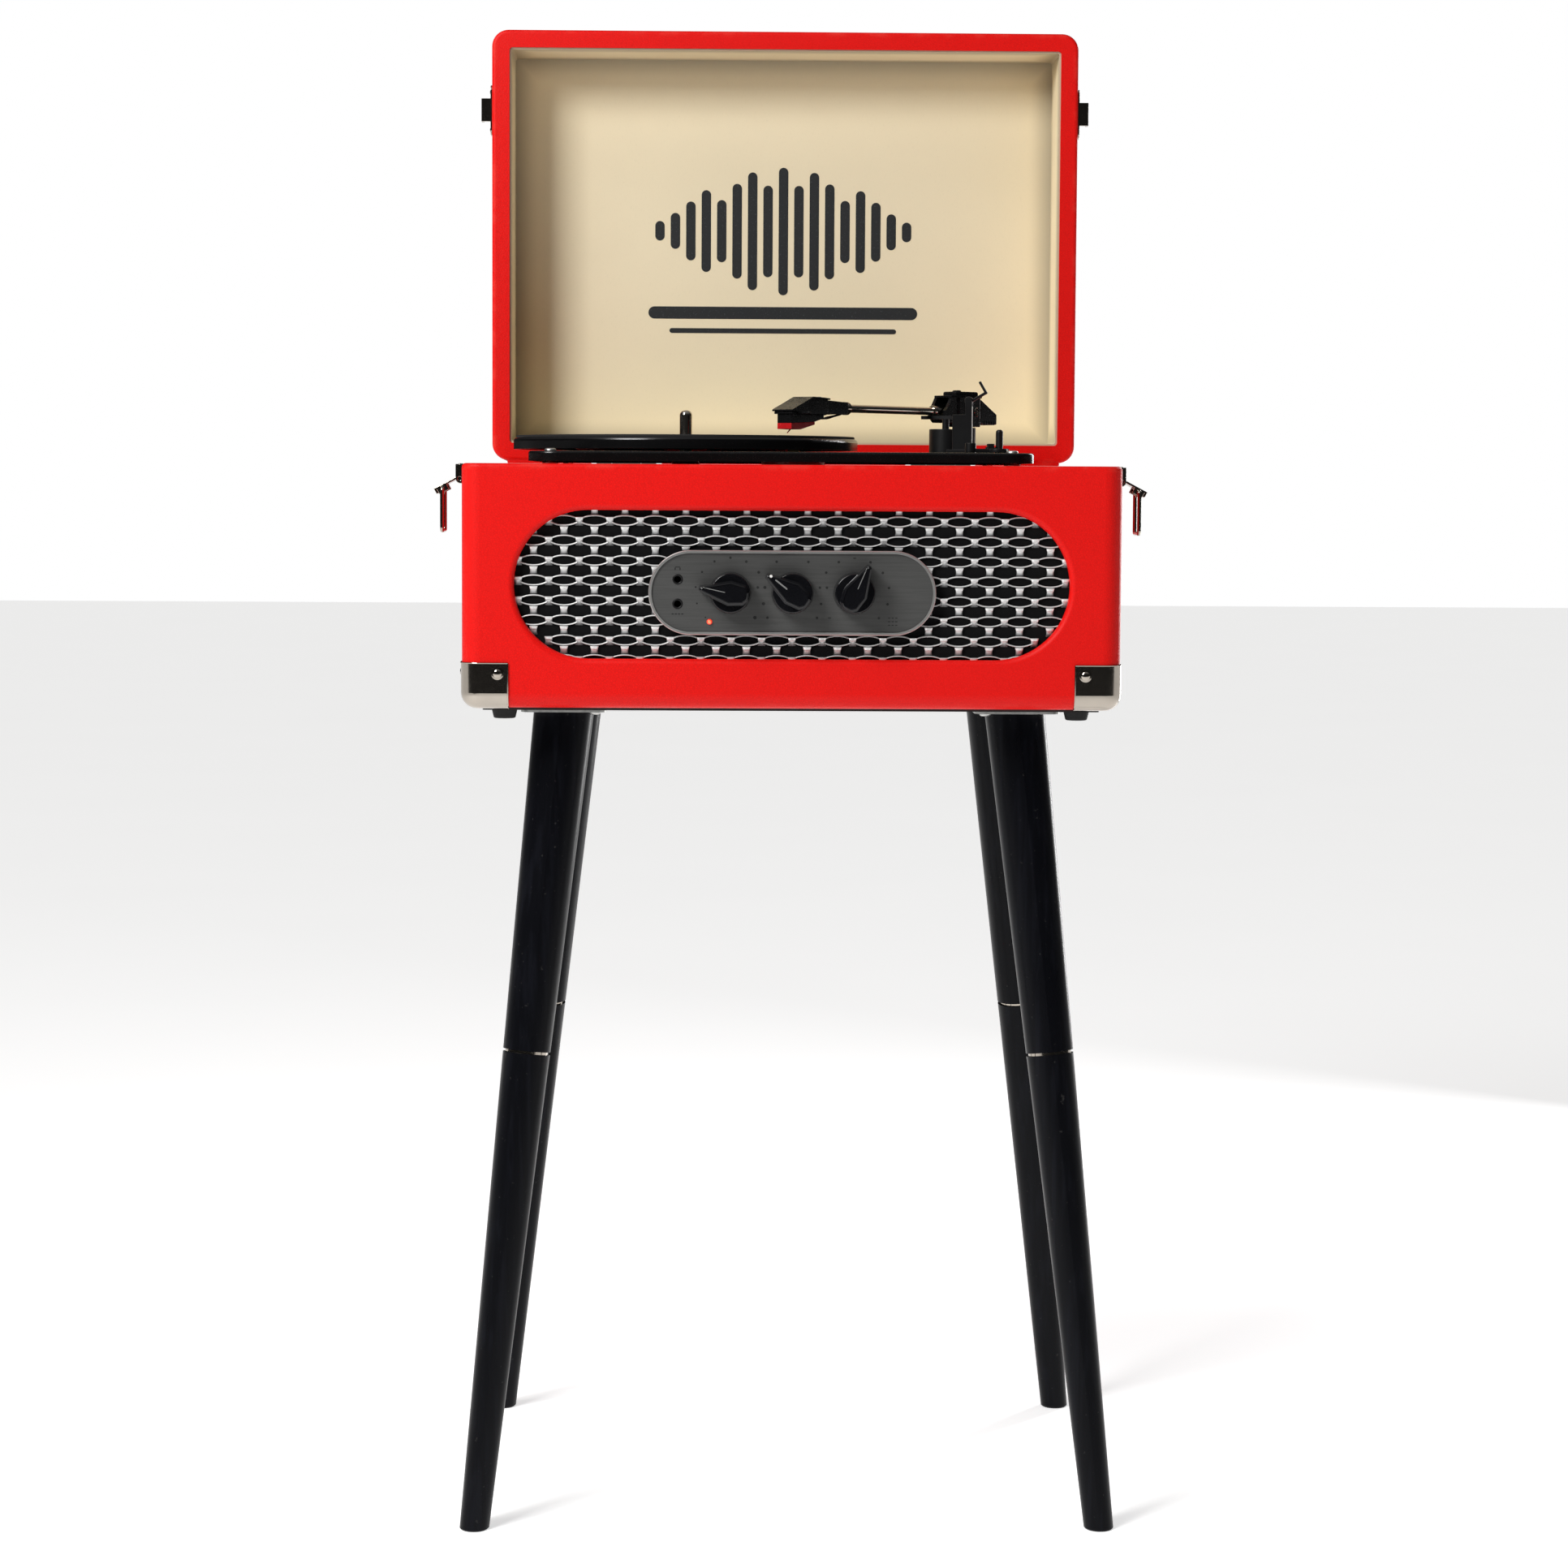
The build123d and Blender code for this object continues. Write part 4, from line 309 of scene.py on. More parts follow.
class Surface(Nodes):
    """One procedural finish: its material, its shader and the nodes that feed it."""

    def __init__(self, name, constants):
        self.material = bpy.data.materials.new(name)
        super().__init__(self.material)
        self.shader = self.tree.nodes["Principled BSDF"]
        for socket, value in constants.items():
            self.feed(self.shader.inputs[socket], value)

    def coords(self):
        return self.add("ShaderNodeTexCoord", output="Object")

    def axes(self):
        return self.parts(self.coords())

    def stretched(self, scale):
        """Coordinates multiplied by a separate number along each axis."""
        return self.add(
            "ShaderNodeVectorMath", {"operation": "MULTIPLY"}, {0: self.coords(), 1: scale})

    def noise(self, scale, detail, vector=None):
        return self.add("ShaderNodeTexNoise", None, {
            "Vector": vector or self.coords(), "Scale": scale, "Detail": detail})

    def cells(self, scale, feature="DISTANCE_TO_EDGE"):
        return self.add(
            "ShaderNodeTexVoronoi", {"feature": feature},
            {"Vector": self.coords(), "Scale": scale})

    def mix(self, factor, first, second):
        """Mix two colours."""
        return self.add(
            "ShaderNodeMix", {"data_type": "RGBA"}, {0: factor, 6: first, 7: second}, 2)

    def radius(self, centre):
        """Distance from an upright axis."""
        x, y, _ = self.axes()
        return ((x - centre.x) ** 2.0 + (y - centre.y) ** 2.0) ** 0.5

    def edge_distance(self, low, high):
        """Distance on a box's surface from the nearest edge of the box."""
        walls = []
        for axis, value in enumerate(self.axes()):
            middle = (low[axis] + high[axis]) / 2
            walls.append((high[axis] - low[axis]) / 2 - abs(value - middle))
        a, b, c = walls
        return a.least(b).most(a.most(b).least(c))

    def paint(self, **values):
        names = {"colour": "Base Color", "roughness": "Roughness", "metallic": "Metallic",
                 "coat": "Coat Weight", "glow": "Emission Color"}
        for key, value in values.items():
            self.feed(self.shader.inputs[names[key]], value)

    def bump(self, height, strength, depth):
        normal = self.add("ShaderNodeBump", None, {
            "Strength": strength, "Distance": depth, "Height": height})
        self.feed(self.shader.inputs["Normal"], normal)


def tint(colour, share):
    """A colour made lighter or darker, worked out in numbers."""
    return tuple(min(1.0, max(0.0, part * share)) for part in colour)


# ---------------------------------------------------------------- finishes
def make_leatherette(name, node, settings):
    """Pebbled covering with rubbed edges."""
    s = Surface(name, {"Specular IOR Level": 0.16})
    base = tuple(settings.leather)
    grain = s.cells(1 / settings.pebble)
    pebble = grain.step(0.0, 0.22)
    pores = s.noise(2.6 / settings.pebble, 3.0)
    patch = s.noise(7.0, 3.0)
    low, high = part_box(node)
    edge = s.edge_distance(low, high)
    rub = (1 - edge.step(0.0006, 0.0042)) * s.noise(95.0, 4.0).step(0.46, 0.66) * settings.wear
    body = s.mix(pebble, tint(base, 0.84), base)
    body = s.mix(patch.step(0.35, 0.7) * 0.35, body, tint(base, 0.88))
    body = s.mix(rub * 0.35, body, (0.86, 0.11, 0.075))
    s.paint(colour=body, roughness=0.4 + patch * 0.12 - pebble * 0.05 + rub * 0.12)
    s.bump(pebble * 0.75 + pores * 0.4, 0.42, 0.12 * MM)
    return s.material


def make_lining(settings):
    """Fine laid paper, with painted shade darkening it where it meets the walls."""
    s = Surface("Cream lining paper", {"Specular IOR Level": 0.25})
    base = tuple(settings.lining)
    low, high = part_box("lid_lining")
    fibre = s.noise(1500.0, 4.0, s.stretched((1.0, 1.0, 0.35)))
    cloud = s.noise(14.0, 4.0)
    edge = s.edge_distance(low, high)
    # Painted shade: the paper is drawn darker within 16 mm of the lining's edges, where the lid's
    # walls shade it.
    painted_wall_shade = (1 - edge.step(0.0, 0.016)) * 0.8
    body = s.mix(cloud.step(0.3, 0.75) * 0.4, base, tint(base, 0.93))
    body = s.mix(fibre.step(0.55, 0.75) * 0.22, body, tint(base, 0.86))
    body = s.mix(painted_wall_shade, body, tint(base, 0.5))
    s.paint(colour=body, roughness=0.66 + fibre * 0.16)
    s.bump(fibre, 0.3, 0.08 * MM)
    return s.material


def make_print(settings):
    """Screen-printed ink with a slightly uneven coat."""
    s = Surface("Printed ink", {"Specular IOR Level": 0.35})
    ink = tuple(settings.print_colour)
    speck = s.noise(900.0, 4.0)
    s.paint(colour=s.mix(speck.step(0.58, 0.72), ink, tint(ink, 2.6)), roughness=0.5 + speck * 0.2)
    s.bump(speck, 0.2, 0.03 * MM)
    return s.material


def make_lacquer(settings):
    """Satin lacquer over turned wood, with the grain just showing."""
    s = Surface("Satin black lacquer", {"Specular IOR Level": 0.1})
    base = tuple(settings.lacquer)
    grain = s.noise(260.0, 4.0, s.stretched((1.0, 1.0, 0.035)))
    cloud = s.noise(22.0, 3.0)
    scuff = s.noise(420.0, 5.0).step(0.67, 0.74)
    body = s.mix(grain.step(0.45, 0.7), base, tint(base, 1.9))
    body = s.mix(scuff * 0.4, body, (0.05, 0.048, 0.046))
    s.paint(colour=body, roughness=0.22 + cloud * 0.08 + grain * 0.06 + scuff * 0.15)
    s.bump(grain, 0.22, 0.1 * MM)
    return s.material


def make_board():
    """Painted fibreboard with a roller's texture."""
    s = Surface("Matte painted board", {"Specular IOR Level": 0.3})
    stipple = s.noise(700.0, 3.0)
    cloud = s.noise(30.0, 3.0)
    body = s.mix(cloud.step(0.35, 0.7), (0.016, 0.016, 0.016), (0.028, 0.027, 0.026))
    s.paint(colour=body, roughness=0.62 + stipple * 0.18)
    s.bump(stipple, 0.4, 0.15 * MM)
    return s.material


def make_grille():
    """Satin silver paint over expanded metal, with painted shade: near black where the mesh lies
    back, bright silver where it stands forward.
    """
    s = Surface("Satin silver mesh", {"Specular IOR Level": 0.5})
    low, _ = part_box("grille_mesh")
    _, y, _ = s.axes()
    # Painted shade: proud is 1 where the mesh stands forward and 0 where it lies back, and the
    # colour runs from near black at the back to bright silver at the front.
    proud = 1 - (y - low.y).step(-0.0002, 0.0012)
    fleck = s.noise(1800.0, 3.0)
    body = s.mix(proud, (0.07, 0.07, 0.072), (0.95, 0.95, 0.94))
    body = s.mix(fleck.step(0.5, 0.7) * 0.25, body, (0.5, 0.5, 0.5))
    s.paint(colour=body, metallic=0.45 + proud * 0.1, roughness=0.34 + fleck * 0.14)
    s.bump(fleck, 0.25, 0.05 * MM)
    return s.material


def make_cloth():
    """Plain-woven black speaker cloth."""
    s = Surface("Woven speaker cloth", {"Specular IOR Level": 0.08})
    x, _, z = s.axes()
    thread = 2 * math.pi / (1.1 * MM)
    warp = (x * thread).wave()
    weft = (z * thread).wave()
    weave = warp * weft * 0.5 + 0.5
    fuzz = s.noise(2400.0, 2.0)
    body = s.mix(weave, (0.0022, 0.0022, 0.0023), (0.009, 0.009, 0.0095))
    s.paint(colour=body, roughness=0.85 + fuzz * 0.1)
    s.bump(weave + fuzz * 0.3, 0.6, 0.25 * MM)
    return s.material


def make_speaker():
    """Pressed steel basket and paper cone, told apart by how far forward they lie."""
    s = Surface("Speaker steel and paper", {"Specular IOR Level": 0.4})
    low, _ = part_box("speakers")
    _, y, _ = s.axes()
    front = 1 - (y - low.y).step(0.002, 0.008)
    pulp = s.noise(600.0, 5.0)
    body = s.mix(front, (0.10, 0.10, 0.105), (0.025, 0.024, 0.023))
    body = s.mix(pulp.step(0.55, 0.8) * 0.3, body, (0.07, 0.065, 0.06))
    s.paint(colour=body, metallic=0.75 - front * 0.75, roughness=0.42 + front * 0.35)
    s.bump(pulp, 0.35, 0.1 * MM)
    return s.material


def make_plate(settings):
    """Anodised aluminium brushed from side to side."""
    s = Surface("Anodised control plate", {"Specular IOR Level": 0.5})
    base = tuple(settings.plate)
    low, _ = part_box("control_plate")
    _, y, _ = s.axes()
    streak = s.noise(1400.0, 4.0, s.stretched((0.03, 1.0, 1.0)))
    rim = 1 - (y - low.y).step(0.00015, 0.0007)
    body = s.mix(streak.step(0.3, 0.7) * 0.6, base, tint(base, 1.28))
    body = s.mix(rim, body, (0.62, 0.615, 0.60))
    s.paint(colour=body, metallic=0.55 + rim * 0.35, roughness=0.4 + streak * 0.12 - rim * 0.14)
    s.bump(streak, 0.16, 0.04 * MM)
    return s.material


def make_gloss_black(name, base=(0.0035, 0.0036, 0.0045), rough=0.12, depth=0.02 * MM):
    """Polished moulding with faint ripple and fine handling marks."""
    s = Surface(name, {"Specular IOR Level": 0.3, "Coat Weight": 0.08, "Coat Roughness": 0.06})
    ripple = s.noise(70.0, 3.0)
    rubbed = s.noise(900.0, 5.0, s.stretched((1.0, 0.3, 1.0)))
    s.paint(
        colour=s.mix(ripple, base, tint(base, 1.7)),
        roughness=rough + rubbed.step(0.5, 0.75) * 0.1 + ripple * 0.05,
    )
    s.bump(ripple, 0.25, depth)
    return s.material


def make_plastic():
    """Black moulding with a fine spark-eroded texture."""
    s = Surface("Textured black moulding", {"Specular IOR Level": 0.28})
    spark = s.noise(2100.0, 3.0)
    cloud = s.noise(40.0, 3.0)
    body = s.mix(cloud, (0.004, 0.004, 0.0043), (0.009, 0.009, 0.0095))
    s.paint(colour=body, roughness=0.3 + spark * 0.16 + cloud * 0.06)
    s.bump(spark, 0.28, 0.05 * MM)
    return s.material


def make_platter(centre):
    """Satin black disc with turned rings."""
    s = Surface("Turned satin black", {"Specular IOR Level": 0.35, "Coat Weight": 0.1})
    rings = (s.radius(centre) * (2 * math.pi / (0.7 * MM))).wave() * 0.5 + 0.5
    cloud = s.noise(35.0, 3.0)
    body = s.mix(rings, (0.003, 0.003, 0.0033), (0.008, 0.008, 0.0083))
    s.paint(colour=body, roughness=0.16 + rings * 0.06 + cloud * 0.08)
    s.bump(rings, 0.12, 0.03 * MM)
    return s.material


def make_rubber():
    """Matte rubber with dust held in its texture."""
    s = Surface("Black rubber", {"Specular IOR Level": 0.3})
    spark = s.noise(1300.0, 3.0)
    dust = s.noise(160.0, 5.0).step(0.6, 0.78)
    body = s.mix(spark, (0.009, 0.009, 0.009), (0.019, 0.019, 0.019))
    body = s.mix(dust * 0.35, body, (0.075, 0.073, 0.07))
    s.paint(colour=body, roughness=0.6 + spark * 0.2 + dust * 0.1)
    s.bump(spark, 0.35, 0.06 * MM)
    return s.material


def make_lens(settings):
    """Clear red lamp lens, lit from within and deeper at its rim."""
    s = Surface("Red lamp lens", {
        "Specular IOR Level": 0.6, "Coat Weight": 0.6, "Emission Strength": settings.lamp})
    low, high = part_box("led_lens")
    x, _, z = s.axes()
    off = ((x - (low.x + high.x) / 2) ** 2.0 + (z - (low.z + high.z) / 2) ** 2.0) ** 0.5
    core = 1 - off.step(0.0002, 0.0014)
    cloud = s.noise(1500.0, 2.0)
    body = s.mix(core, (0.62, 0.03, 0.012), (0.95, 0.20, 0.09))
    s.paint(colour=body, roughness=0.1 + cloud * 0.08)
    s.paint(glow=s.mix(core, (0.5, 0.012, 0.004), (1.0, 0.16, 0.06)))
    return s.material


def make_stylus():
    """Deep red moulding, a little cloudy."""
    s = Surface("Red stylus moulding", {"Specular IOR Level": 0.5, "Coat Weight": 0.3})
    cloud = s.noise(240.0, 3.0)
    body = s.mix(cloud, (0.42, 0.006, 0.01), (0.60, 0.012, 0.014))
    s.paint(colour=body, roughness=0.2 + cloud * 0.1)
    s.bump(cloud, 0.2, 0.03 * MM)
    return s.material


def make_circuit():
    """Green board with lighter tracks; parts behind its face are black or grey."""
    s = Surface("Circuit board", {"Specular IOR Level": 0.5})
    low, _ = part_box("amplifier_board")
    _, y, _ = s.axes()
    track = s.add("ShaderNodeTexBrick", {"offset": 0.5}, {
        "Vector": s.coords(), "Scale": 160.0, "Mortar Size": 0.06,
        "Color1": (0.012, 0.10, 0.03), "Color2": (0.01, 0.085, 0.028), "Mortar": (0.05, 0.24, 0.08)})
    behind = (y - low.y).step(0.0017, 0.0019)
    fleck = s.noise(500.0, 3.0)
    part = s.mix(fleck.step(0.45, 0.6), (0.02, 0.02, 0.022), (0.07, 0.07, 0.075))
    s.paint(colour=s.mix(behind, track, part), roughness=0.34 + fleck * 0.2)
    s.bump(fleck, 0.2, 0.05 * MM)
    return s.material


def make_steel(name, colour=(0.55, 0.55, 0.53), rough=0.3):
    """Zinc plate with its faint crystals."""
    s = Surface(name, {"Metallic": 1.0})
    spangle = s.cells(420.0, "F1")
    scratch = s.noise(1200.0, 4.0, s.stretched((1.0, 1.0, 0.1)))
    body = s.mix(spangle, tint(colour, 0.82), tint(colour, 1.1))
    s.paint(colour=body, roughness=rough + spangle * 0.1 + scratch * 0.08)
    s.bump(scratch, 0.15, 0.03 * MM)
    return s.material


def make_nickel(name="Polished nickel", colour=(0.45, 0.405, 0.35), rough=0.08):
    """Bright plate with hairline marks and a warm cast."""
    s = Surface(name, {"Metallic": 1.0})
    hair = s.noise(1600.0, 5.0, s.stretched((1.0, 0.15, 1.0)))
    cloud = s.noise(60.0, 4.0)
    body = s.mix(cloud.step(0.35, 0.75) * 0.6, colour, tint(colour, 0.84))
    s.paint(colour=body, roughness=rough + hair.step(0.5, 0.8) * 0.08 + cloud * 0.04)
    s.bump(cloud, 0.12, 0.04 * MM)
    return s.material


def make_brass():
    """Machined brass with turning marks."""
    s = Surface("Machined brass", {"Metallic": 1.0})
    _, _, z = s.axes()
    turned = (z * (2 * math.pi / (0.25 * MM))).wave() * 0.5 + 0.5
    cloud = s.noise(300.0, 3.0)
    s.paint(
        colour=s.mix(cloud, (0.66, 0.45, 0.17), (0.78, 0.57, 0.25)),
        roughness=0.2 + turned * 0.12,
    )
    s.bump(turned, 0.2, 0.02 * MM)
    return s.material


def make_mark(name, colour, rough=0.5):
    """Enamel or ink for small marks."""
    s = Surface(name, {"Specular IOR Level": 0.4})
    speck = s.noise(1500.0, 3.0)
    body = s.mix(speck.step(0.5, 0.8), colour, tint(colour, 0.82))
    s.paint(colour=body, roughness=rough + speck * 0.1)
    return s.material


FINISHES = {}


def finish(name):
    if name not in FINISHES:
        raise RuntimeError(f"no finish named {name}; mix the finishes first")
    return FINISHES[name]


def dress(node, name):
    """Give a CAD node its finish."""
    mesh = frame["nodes"][node].data
    mesh.materials.clear()
    mesh.materials.append(finish(name))


# ---------------------------------------------------------------- shape helpers
def joint(name):
    return next(j for j in frame["joints"] if j["name"] == name)


def joint_point(name):
    return Vector(joint(name)["pos_m"])


def middle_of(box):
    low, high = box
    return (low + high) / 2


def facing(origin, along, up=UP):
    """Placement whose local Z runs along one direction and whose local Y is nearest to up."""
    z = Vector(along).normalized()
    x = Vector(up).cross(z)
    if x.length < 1e-6:
        x = Vector((1, 0, 0))
    x.normalize()
    y = z.cross(x)
    return Matrix((
        (x.x, y.x, z.x, origin[0]), (x.y, y.y, z.y, origin[1]),
        (x.z, y.z, z.z, origin[2]), (0, 0, 0, 1)))


def placed(name, data, place):
    """A new object in the scene, standing at a placement."""
    made = bpy.data.objects.new(name, data)
    made.matrix_world = place
    bpy.context.scene.collection.objects.link(made)
    return made


def piece(name, bm, body, look, stands_for=(), sharp=35.0):
    """Turn a mesh in the making into a shown piece that moves with a body."""
    bmesh.ops.recalc_face_normals(bm, faces=bm.faces)
    mesh = bpy.data.meshes.new(name)
    bm.to_mesh(mesh)
    bm.free()
    mesh.shade_smooth()
    mesh.set_sharp_from_angle(angle=math.radians(sharp))
    mesh.materials.append(finish(look))
    made = placed(name, mesh, Matrix())
    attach(made, body)
    if stands_for:
        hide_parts(*stands_for)
    return made


def in_mm(points):
    """Pairs given in millimetres, in the scene's metres."""
    return [(a * MM, b * MM) for a, b in points]


def lathe(bm, profile, place, steps=40):
    """Turn a line of (radius, height) points about the placement's local Z."""
    rings = []
    for radius, height in profile:
        if radius < 1e-8:
            rings.append([bm.verts.new(place @ Vector((0, 0, height)))])
            continue
        ring = []
        for i in range(steps):
            turn = 2 * math.pi * i / steps
            ring.append(bm.verts.new(
                place @ Vector((radius * math.cos(turn), radius * math.sin(turn), height))))
        rings.append(ring)
    for first, second in zip(rings, rings[1:]):
        for i in range(steps):
            j = (i + 1) % steps
            corners = [first[i % len(first)], first[j % len(first)],
                       second[j % len(second)], second[i % len(second)]]
            unique = list(dict.fromkeys(corners))
            if len(unique) > 2:
                bm.faces.new(unique)
    return rings


def walls(bm, rings):
    """Fill the walls between rings that have the same number of points."""
    for first, second in zip(rings, rings[1:]):
        for i in range(len(first)):
            j = (i + 1) % len(first)
            bm.faces.new([first[i], first[j], second[j], second[i]])


def closed_body(bm, rings):
    """Fill the walls between rings and close both ends."""
    walls(bm, rings)
    bm.faces.new(rings[0][::-1])
    bm.faces.new(rings[-1])


def levelled(bm, levels, place):
    """Rings of points from pairs of an (x, y) outline and its local height."""
    return [[bm.verts.new(place @ Vector((x, y, z))) for x, y in line] for line, z in levels]


def closed_lathe(bm, profile, place, steps=40):
    """Turn a closed outline, such as a ring's section."""
    rings = lathe(bm, profile, place, steps)
    walls(bm, [rings[-1], rings[0]])


def slab(bm, outline, place, low, high):
    """Raise an outline of (x, y) points between two local heights."""
    closed_body(bm, levelled(bm, [(outline, low), (outline, high)], place))


def domed(bm, outline, place, low, high, rim):
    """Raise a convex outline with a chamfer all round its top."""
    cx = sum(x for x, _ in outline) / len(outline)
    cy = sum(y for _, y in outline) / len(outline)
    reach = max(math.hypot(x - cx, y - cy) for x, y in outline)
    shrink = 1 - rim / reach
    inner = [(cx + (x - cx) * shrink, cy + (y - cy) * shrink) for x, y in outline]
    levels = [(outline, low), (outline, high - rim), (inner, high)]
    closed_body(bm, levelled(bm, levels, place))


def round_outline(radius, steps=20, x=0.0, y=0.0):
    return [(x + radius * math.cos(2 * math.pi * i / steps),
             y + radius * math.sin(2 * math.pi * i / steps)) for i in range(steps)]


def slot_outline(width, height, steps=10, x=0.0, y=0.0):
    """Slot with round ends, along whichever side is longer."""
    radius = min(width, height) / 2
    run = max(width, height) / 2 - radius
    points = []
    for side in (1, -1):
        for i in range(steps + 1):
            turn = math.pi * (i / steps - 0.5)
            px = side * (run + radius * math.cos(turn))
            py = side * radius * math.sin(turn)
            points.append((x + px, y + py) if width >= height else (x - py, y + px))
    return points


def box_outline(width, height, corner, x=0.0, y=0.0, steps=4):
    points = []
    for k, (sx, sy) in enumerate(((1, 1), (-1, 1), (-1, -1), (1, -1))):
        for i in range(steps + 1):
            turn = math.pi / 2 * (k + i / steps)
            points.append((
                x + sx * (width / 2 - corner) + corner * math.cos(turn),
                y + sy * (height / 2 - corner) + corner * math.sin(turn)))
    return points


def sweep(bm, path, profile, up):
    """Carry a section of (side, up) points along a path; side is to the path's right of up."""
    rings = []
    up = Vector(up)
    for i, spot in enumerate(path):
        ahead = path[min(i + 1, len(path) - 1)] - path[max(i - 1, 0)]
        side = ahead.cross(up).normalized()
        over = side.cross(ahead).normalized()
        rings.append([bm.verts.new(spot + side * a + over * b) for a, b in profile])
    closed_body(bm, rings)


def smooth_path(points, steps=6):
    """Points of a Catmull-Rom line through a few given ones."""
    line = []
    ends = [points[0] * 2 - points[1], *points, points[-1] * 2 - points[-2]]
    for a, b, c, d in zip(ends, ends[1:], ends[2:], ends[3:]):
        for i in range(steps):
            t = i / steps
            line.append(0.5 * (
                2 * b + (c - a) * t + (2 * a - 5 * b + 4 * c - d) * t ** 2
                + (3 * b - a - 3 * c + d) * t ** 3))
    line.append(points[-1])
    return line


def joined_mesh(node):
    """A CAD node's mesh with the points that lie on each other made one."""
    bm = bmesh.new()
    bm.from_mesh(frame["nodes"][node].data)
    bmesh.ops.remove_doubles(bm, verts=bm.verts, dist=SAME_POINT)
    return bm


def round_edges(bm, sharpest, width, segments=2):
    """Round every edge that turns by more than an angle in degrees."""
    hard = [e for e in bm.edges
            if e.is_manifold and e.calc_face_angle() > math.radians(sharpest)]
    bmesh.ops.bevel(
        bm, geom=hard, offset=width, offset_type="OFFSET", segments=segments,
        profile=0.5, affect="EDGES", clamp_overlap=False)


def islands(node):
    """Corners of the box of each separate solid in a CAD node."""
    bm = joined_mesh(node)
    boxes = []
    seen = set()
    for start in bm.verts:
        if start in seen:
            continue
        seen.add(start)
        queue = [start]
        for vert in queue:
            for edge in vert.link_edges:
                other = edge.other_vert(vert)
                if other not in seen:
                    seen.add(other)
                    queue.append(other)
        low = Vector([min(v.co[i] for v in queue) for i in range(3)])
        high = Vector([max(v.co[i] for v in queue) for i in range(3)])
        boxes.append((low, high))
    bm.free()
    return boxes


def softened(node, width, look, segments=2):
    """A piece with the shape of a CAD node and rounded edges, which stands for it."""
    source = frame["nodes"][node]
    bm = joined_mesh(node)
    bmesh.ops.dissolve_limit(
        bm, angle_limit=math.radians(0.4), verts=bm.verts, edges=bm.edges)
    round_edges(bm, 28.0, width, segments)
    made = piece(node + "_finished", bm, source["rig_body"], look, (node,), 40.0)
    weighted = made.modifiers.new("Even shading", "WEIGHTED_NORMAL")
    weighted.keep_sharp = True
    return made


def pan_screw(bm, place, radius, height):
    """Pan-head screw, head up along local Z, with a cross recess cut into it."""
    sink = 0.45 * height
    wide = 0.16 * radius
    reach = 0.58 * radius
    lathe(bm, [
        (0, -0.2 * height), (radius, -0.2 * height), (radius, 0.35 * height),
        (0.9 * radius, 0.75 * height), (0.68 * radius, height), (0.66 * radius, height),
        (0.62 * radius, height - sink * 0.2), (0, height - sink * 0.2)], place, 24)
    for width, length in ((wide * 2, reach * 2), (reach * 2, wide * 2)):
        slab(bm, box_outline(width, length, wide * 0.5), place,
             height - sink * 0.25, height - sink * 0.05)


# ---------------------------------------------------------------- operators
class PLAYER_OT_finishes(Operator):
    """Mix every finish and dress the CAD pieces with them"""

    bl_idname = "player.finishes"
    bl_label = "Mix finishes"

    def execute(self, context):
        cover = context.scene.player_covering
        control = context.scene.player_control
        centre = joint_point("platter_spin")
        FINISHES.update({
            "case leather": make_leatherette("Red leatherette case", "case_body", cover),
            "lid leather": make_leatherette("Red leatherette lid", "lid_shell", cover),
            "deck leather": make_leatherette("Red leatherette deck", "deck_panel", cover),
            "lining": make_lining(cover),
            "print": make_print(cover),
            "lacquer": make_lacquer(cover),
            "board": make_board(),
            "silver mesh": make_grille(),
            "cloth": make_cloth(),
            "speaker": make_speaker(),
            "plate": make_plate(control),
            "knob": make_gloss_black("Polished knob black"),
            "gloss black": make_gloss_black(
                "Glossy black moulding", (0.003, 0.003, 0.0032), 0.2, 0.03 * MM),
            "plastic": make_plastic(),
            "platter": make_platter(centre),
            "rubber": make_rubber(),
            "lens": make_lens(control),
            "stylus": make_stylus(),
            "circuit": make_circuit(),
            "zinc": make_steel("Zinc plated steel"),
            "dark zinc": make_steel("Dark plated steel", (0.16, 0.15, 0.145), 0.34),
            "nickel": make_nickel(),
            "tube": make_nickel("Drawn arm tube", (0.62, 0.57, 0.50), 0.11),
            "brass": make_brass(),
            "dark mark": make_mark("Dark panel ink", (0.012, 0.012, 0.012)),
            "white mark": make_mark("White enamel", (0.82, 0.81, 0.78), 0.35),
            "silver mark": make_mark("Silver foil", (0.2, 0.2, 0.195), 0.35),
            "red plastic": make_mark("Red socket insulator", (0.55, 0.012, 0.01), 0.3),
            "white plastic": make_mark("White socket insulator", (0.72, 0.71, 0.68), 0.3),
            "copper": make_steel("Enamelled lead", (0.5, 0.11, 0.06), 0.3),
        })
        dressed = {
            "case leather": ["case_body"],
            "lid leather": ["lid_shell"],
            "deck leather": ["deck_panel"],
            "lining": ["lid_lining"],
            "lacquer": ["upper_legs", "lower_legs"],
            "board": ["bottom_panel", "speaker_baffle"],
            "cloth": ["grille_cloth"],
            "speaker": ["speakers"],
            "plate": ["control_plate"],
            "gloss black": ["chassis"],
            "plastic": ["headphone_jacks", "rear_plate", "cue_lever", "cue_platform"],
            "platter": ["platter"],
            "rubber": ["rubber_feet", "drive_belt"],
            "lens": ["led_lens"],
            "circuit": ["amplifier_board"],
            "zinc": ["leg_studs", "leg_mount_plates", "suspension_springs", "drive_motor",
                     "potentiometers"],
            "nickel": ["base_corner_guards", "lid_corner_guards", "leg_rings",
                       "hinge_case_leaves", "hinge_lid_leaves", "pivot_pins", "rear_sockets",
                       "latch_loop_left", "latch_loop_right"],
            "tube": ["arm_tube", "spindle"],
            "brass": ["motor_pulley", "platter_bush"],
        }
        for look, nodes in dressed.items():
            for node in nodes:
                dress(node, look)
        return {"FINISHED"}


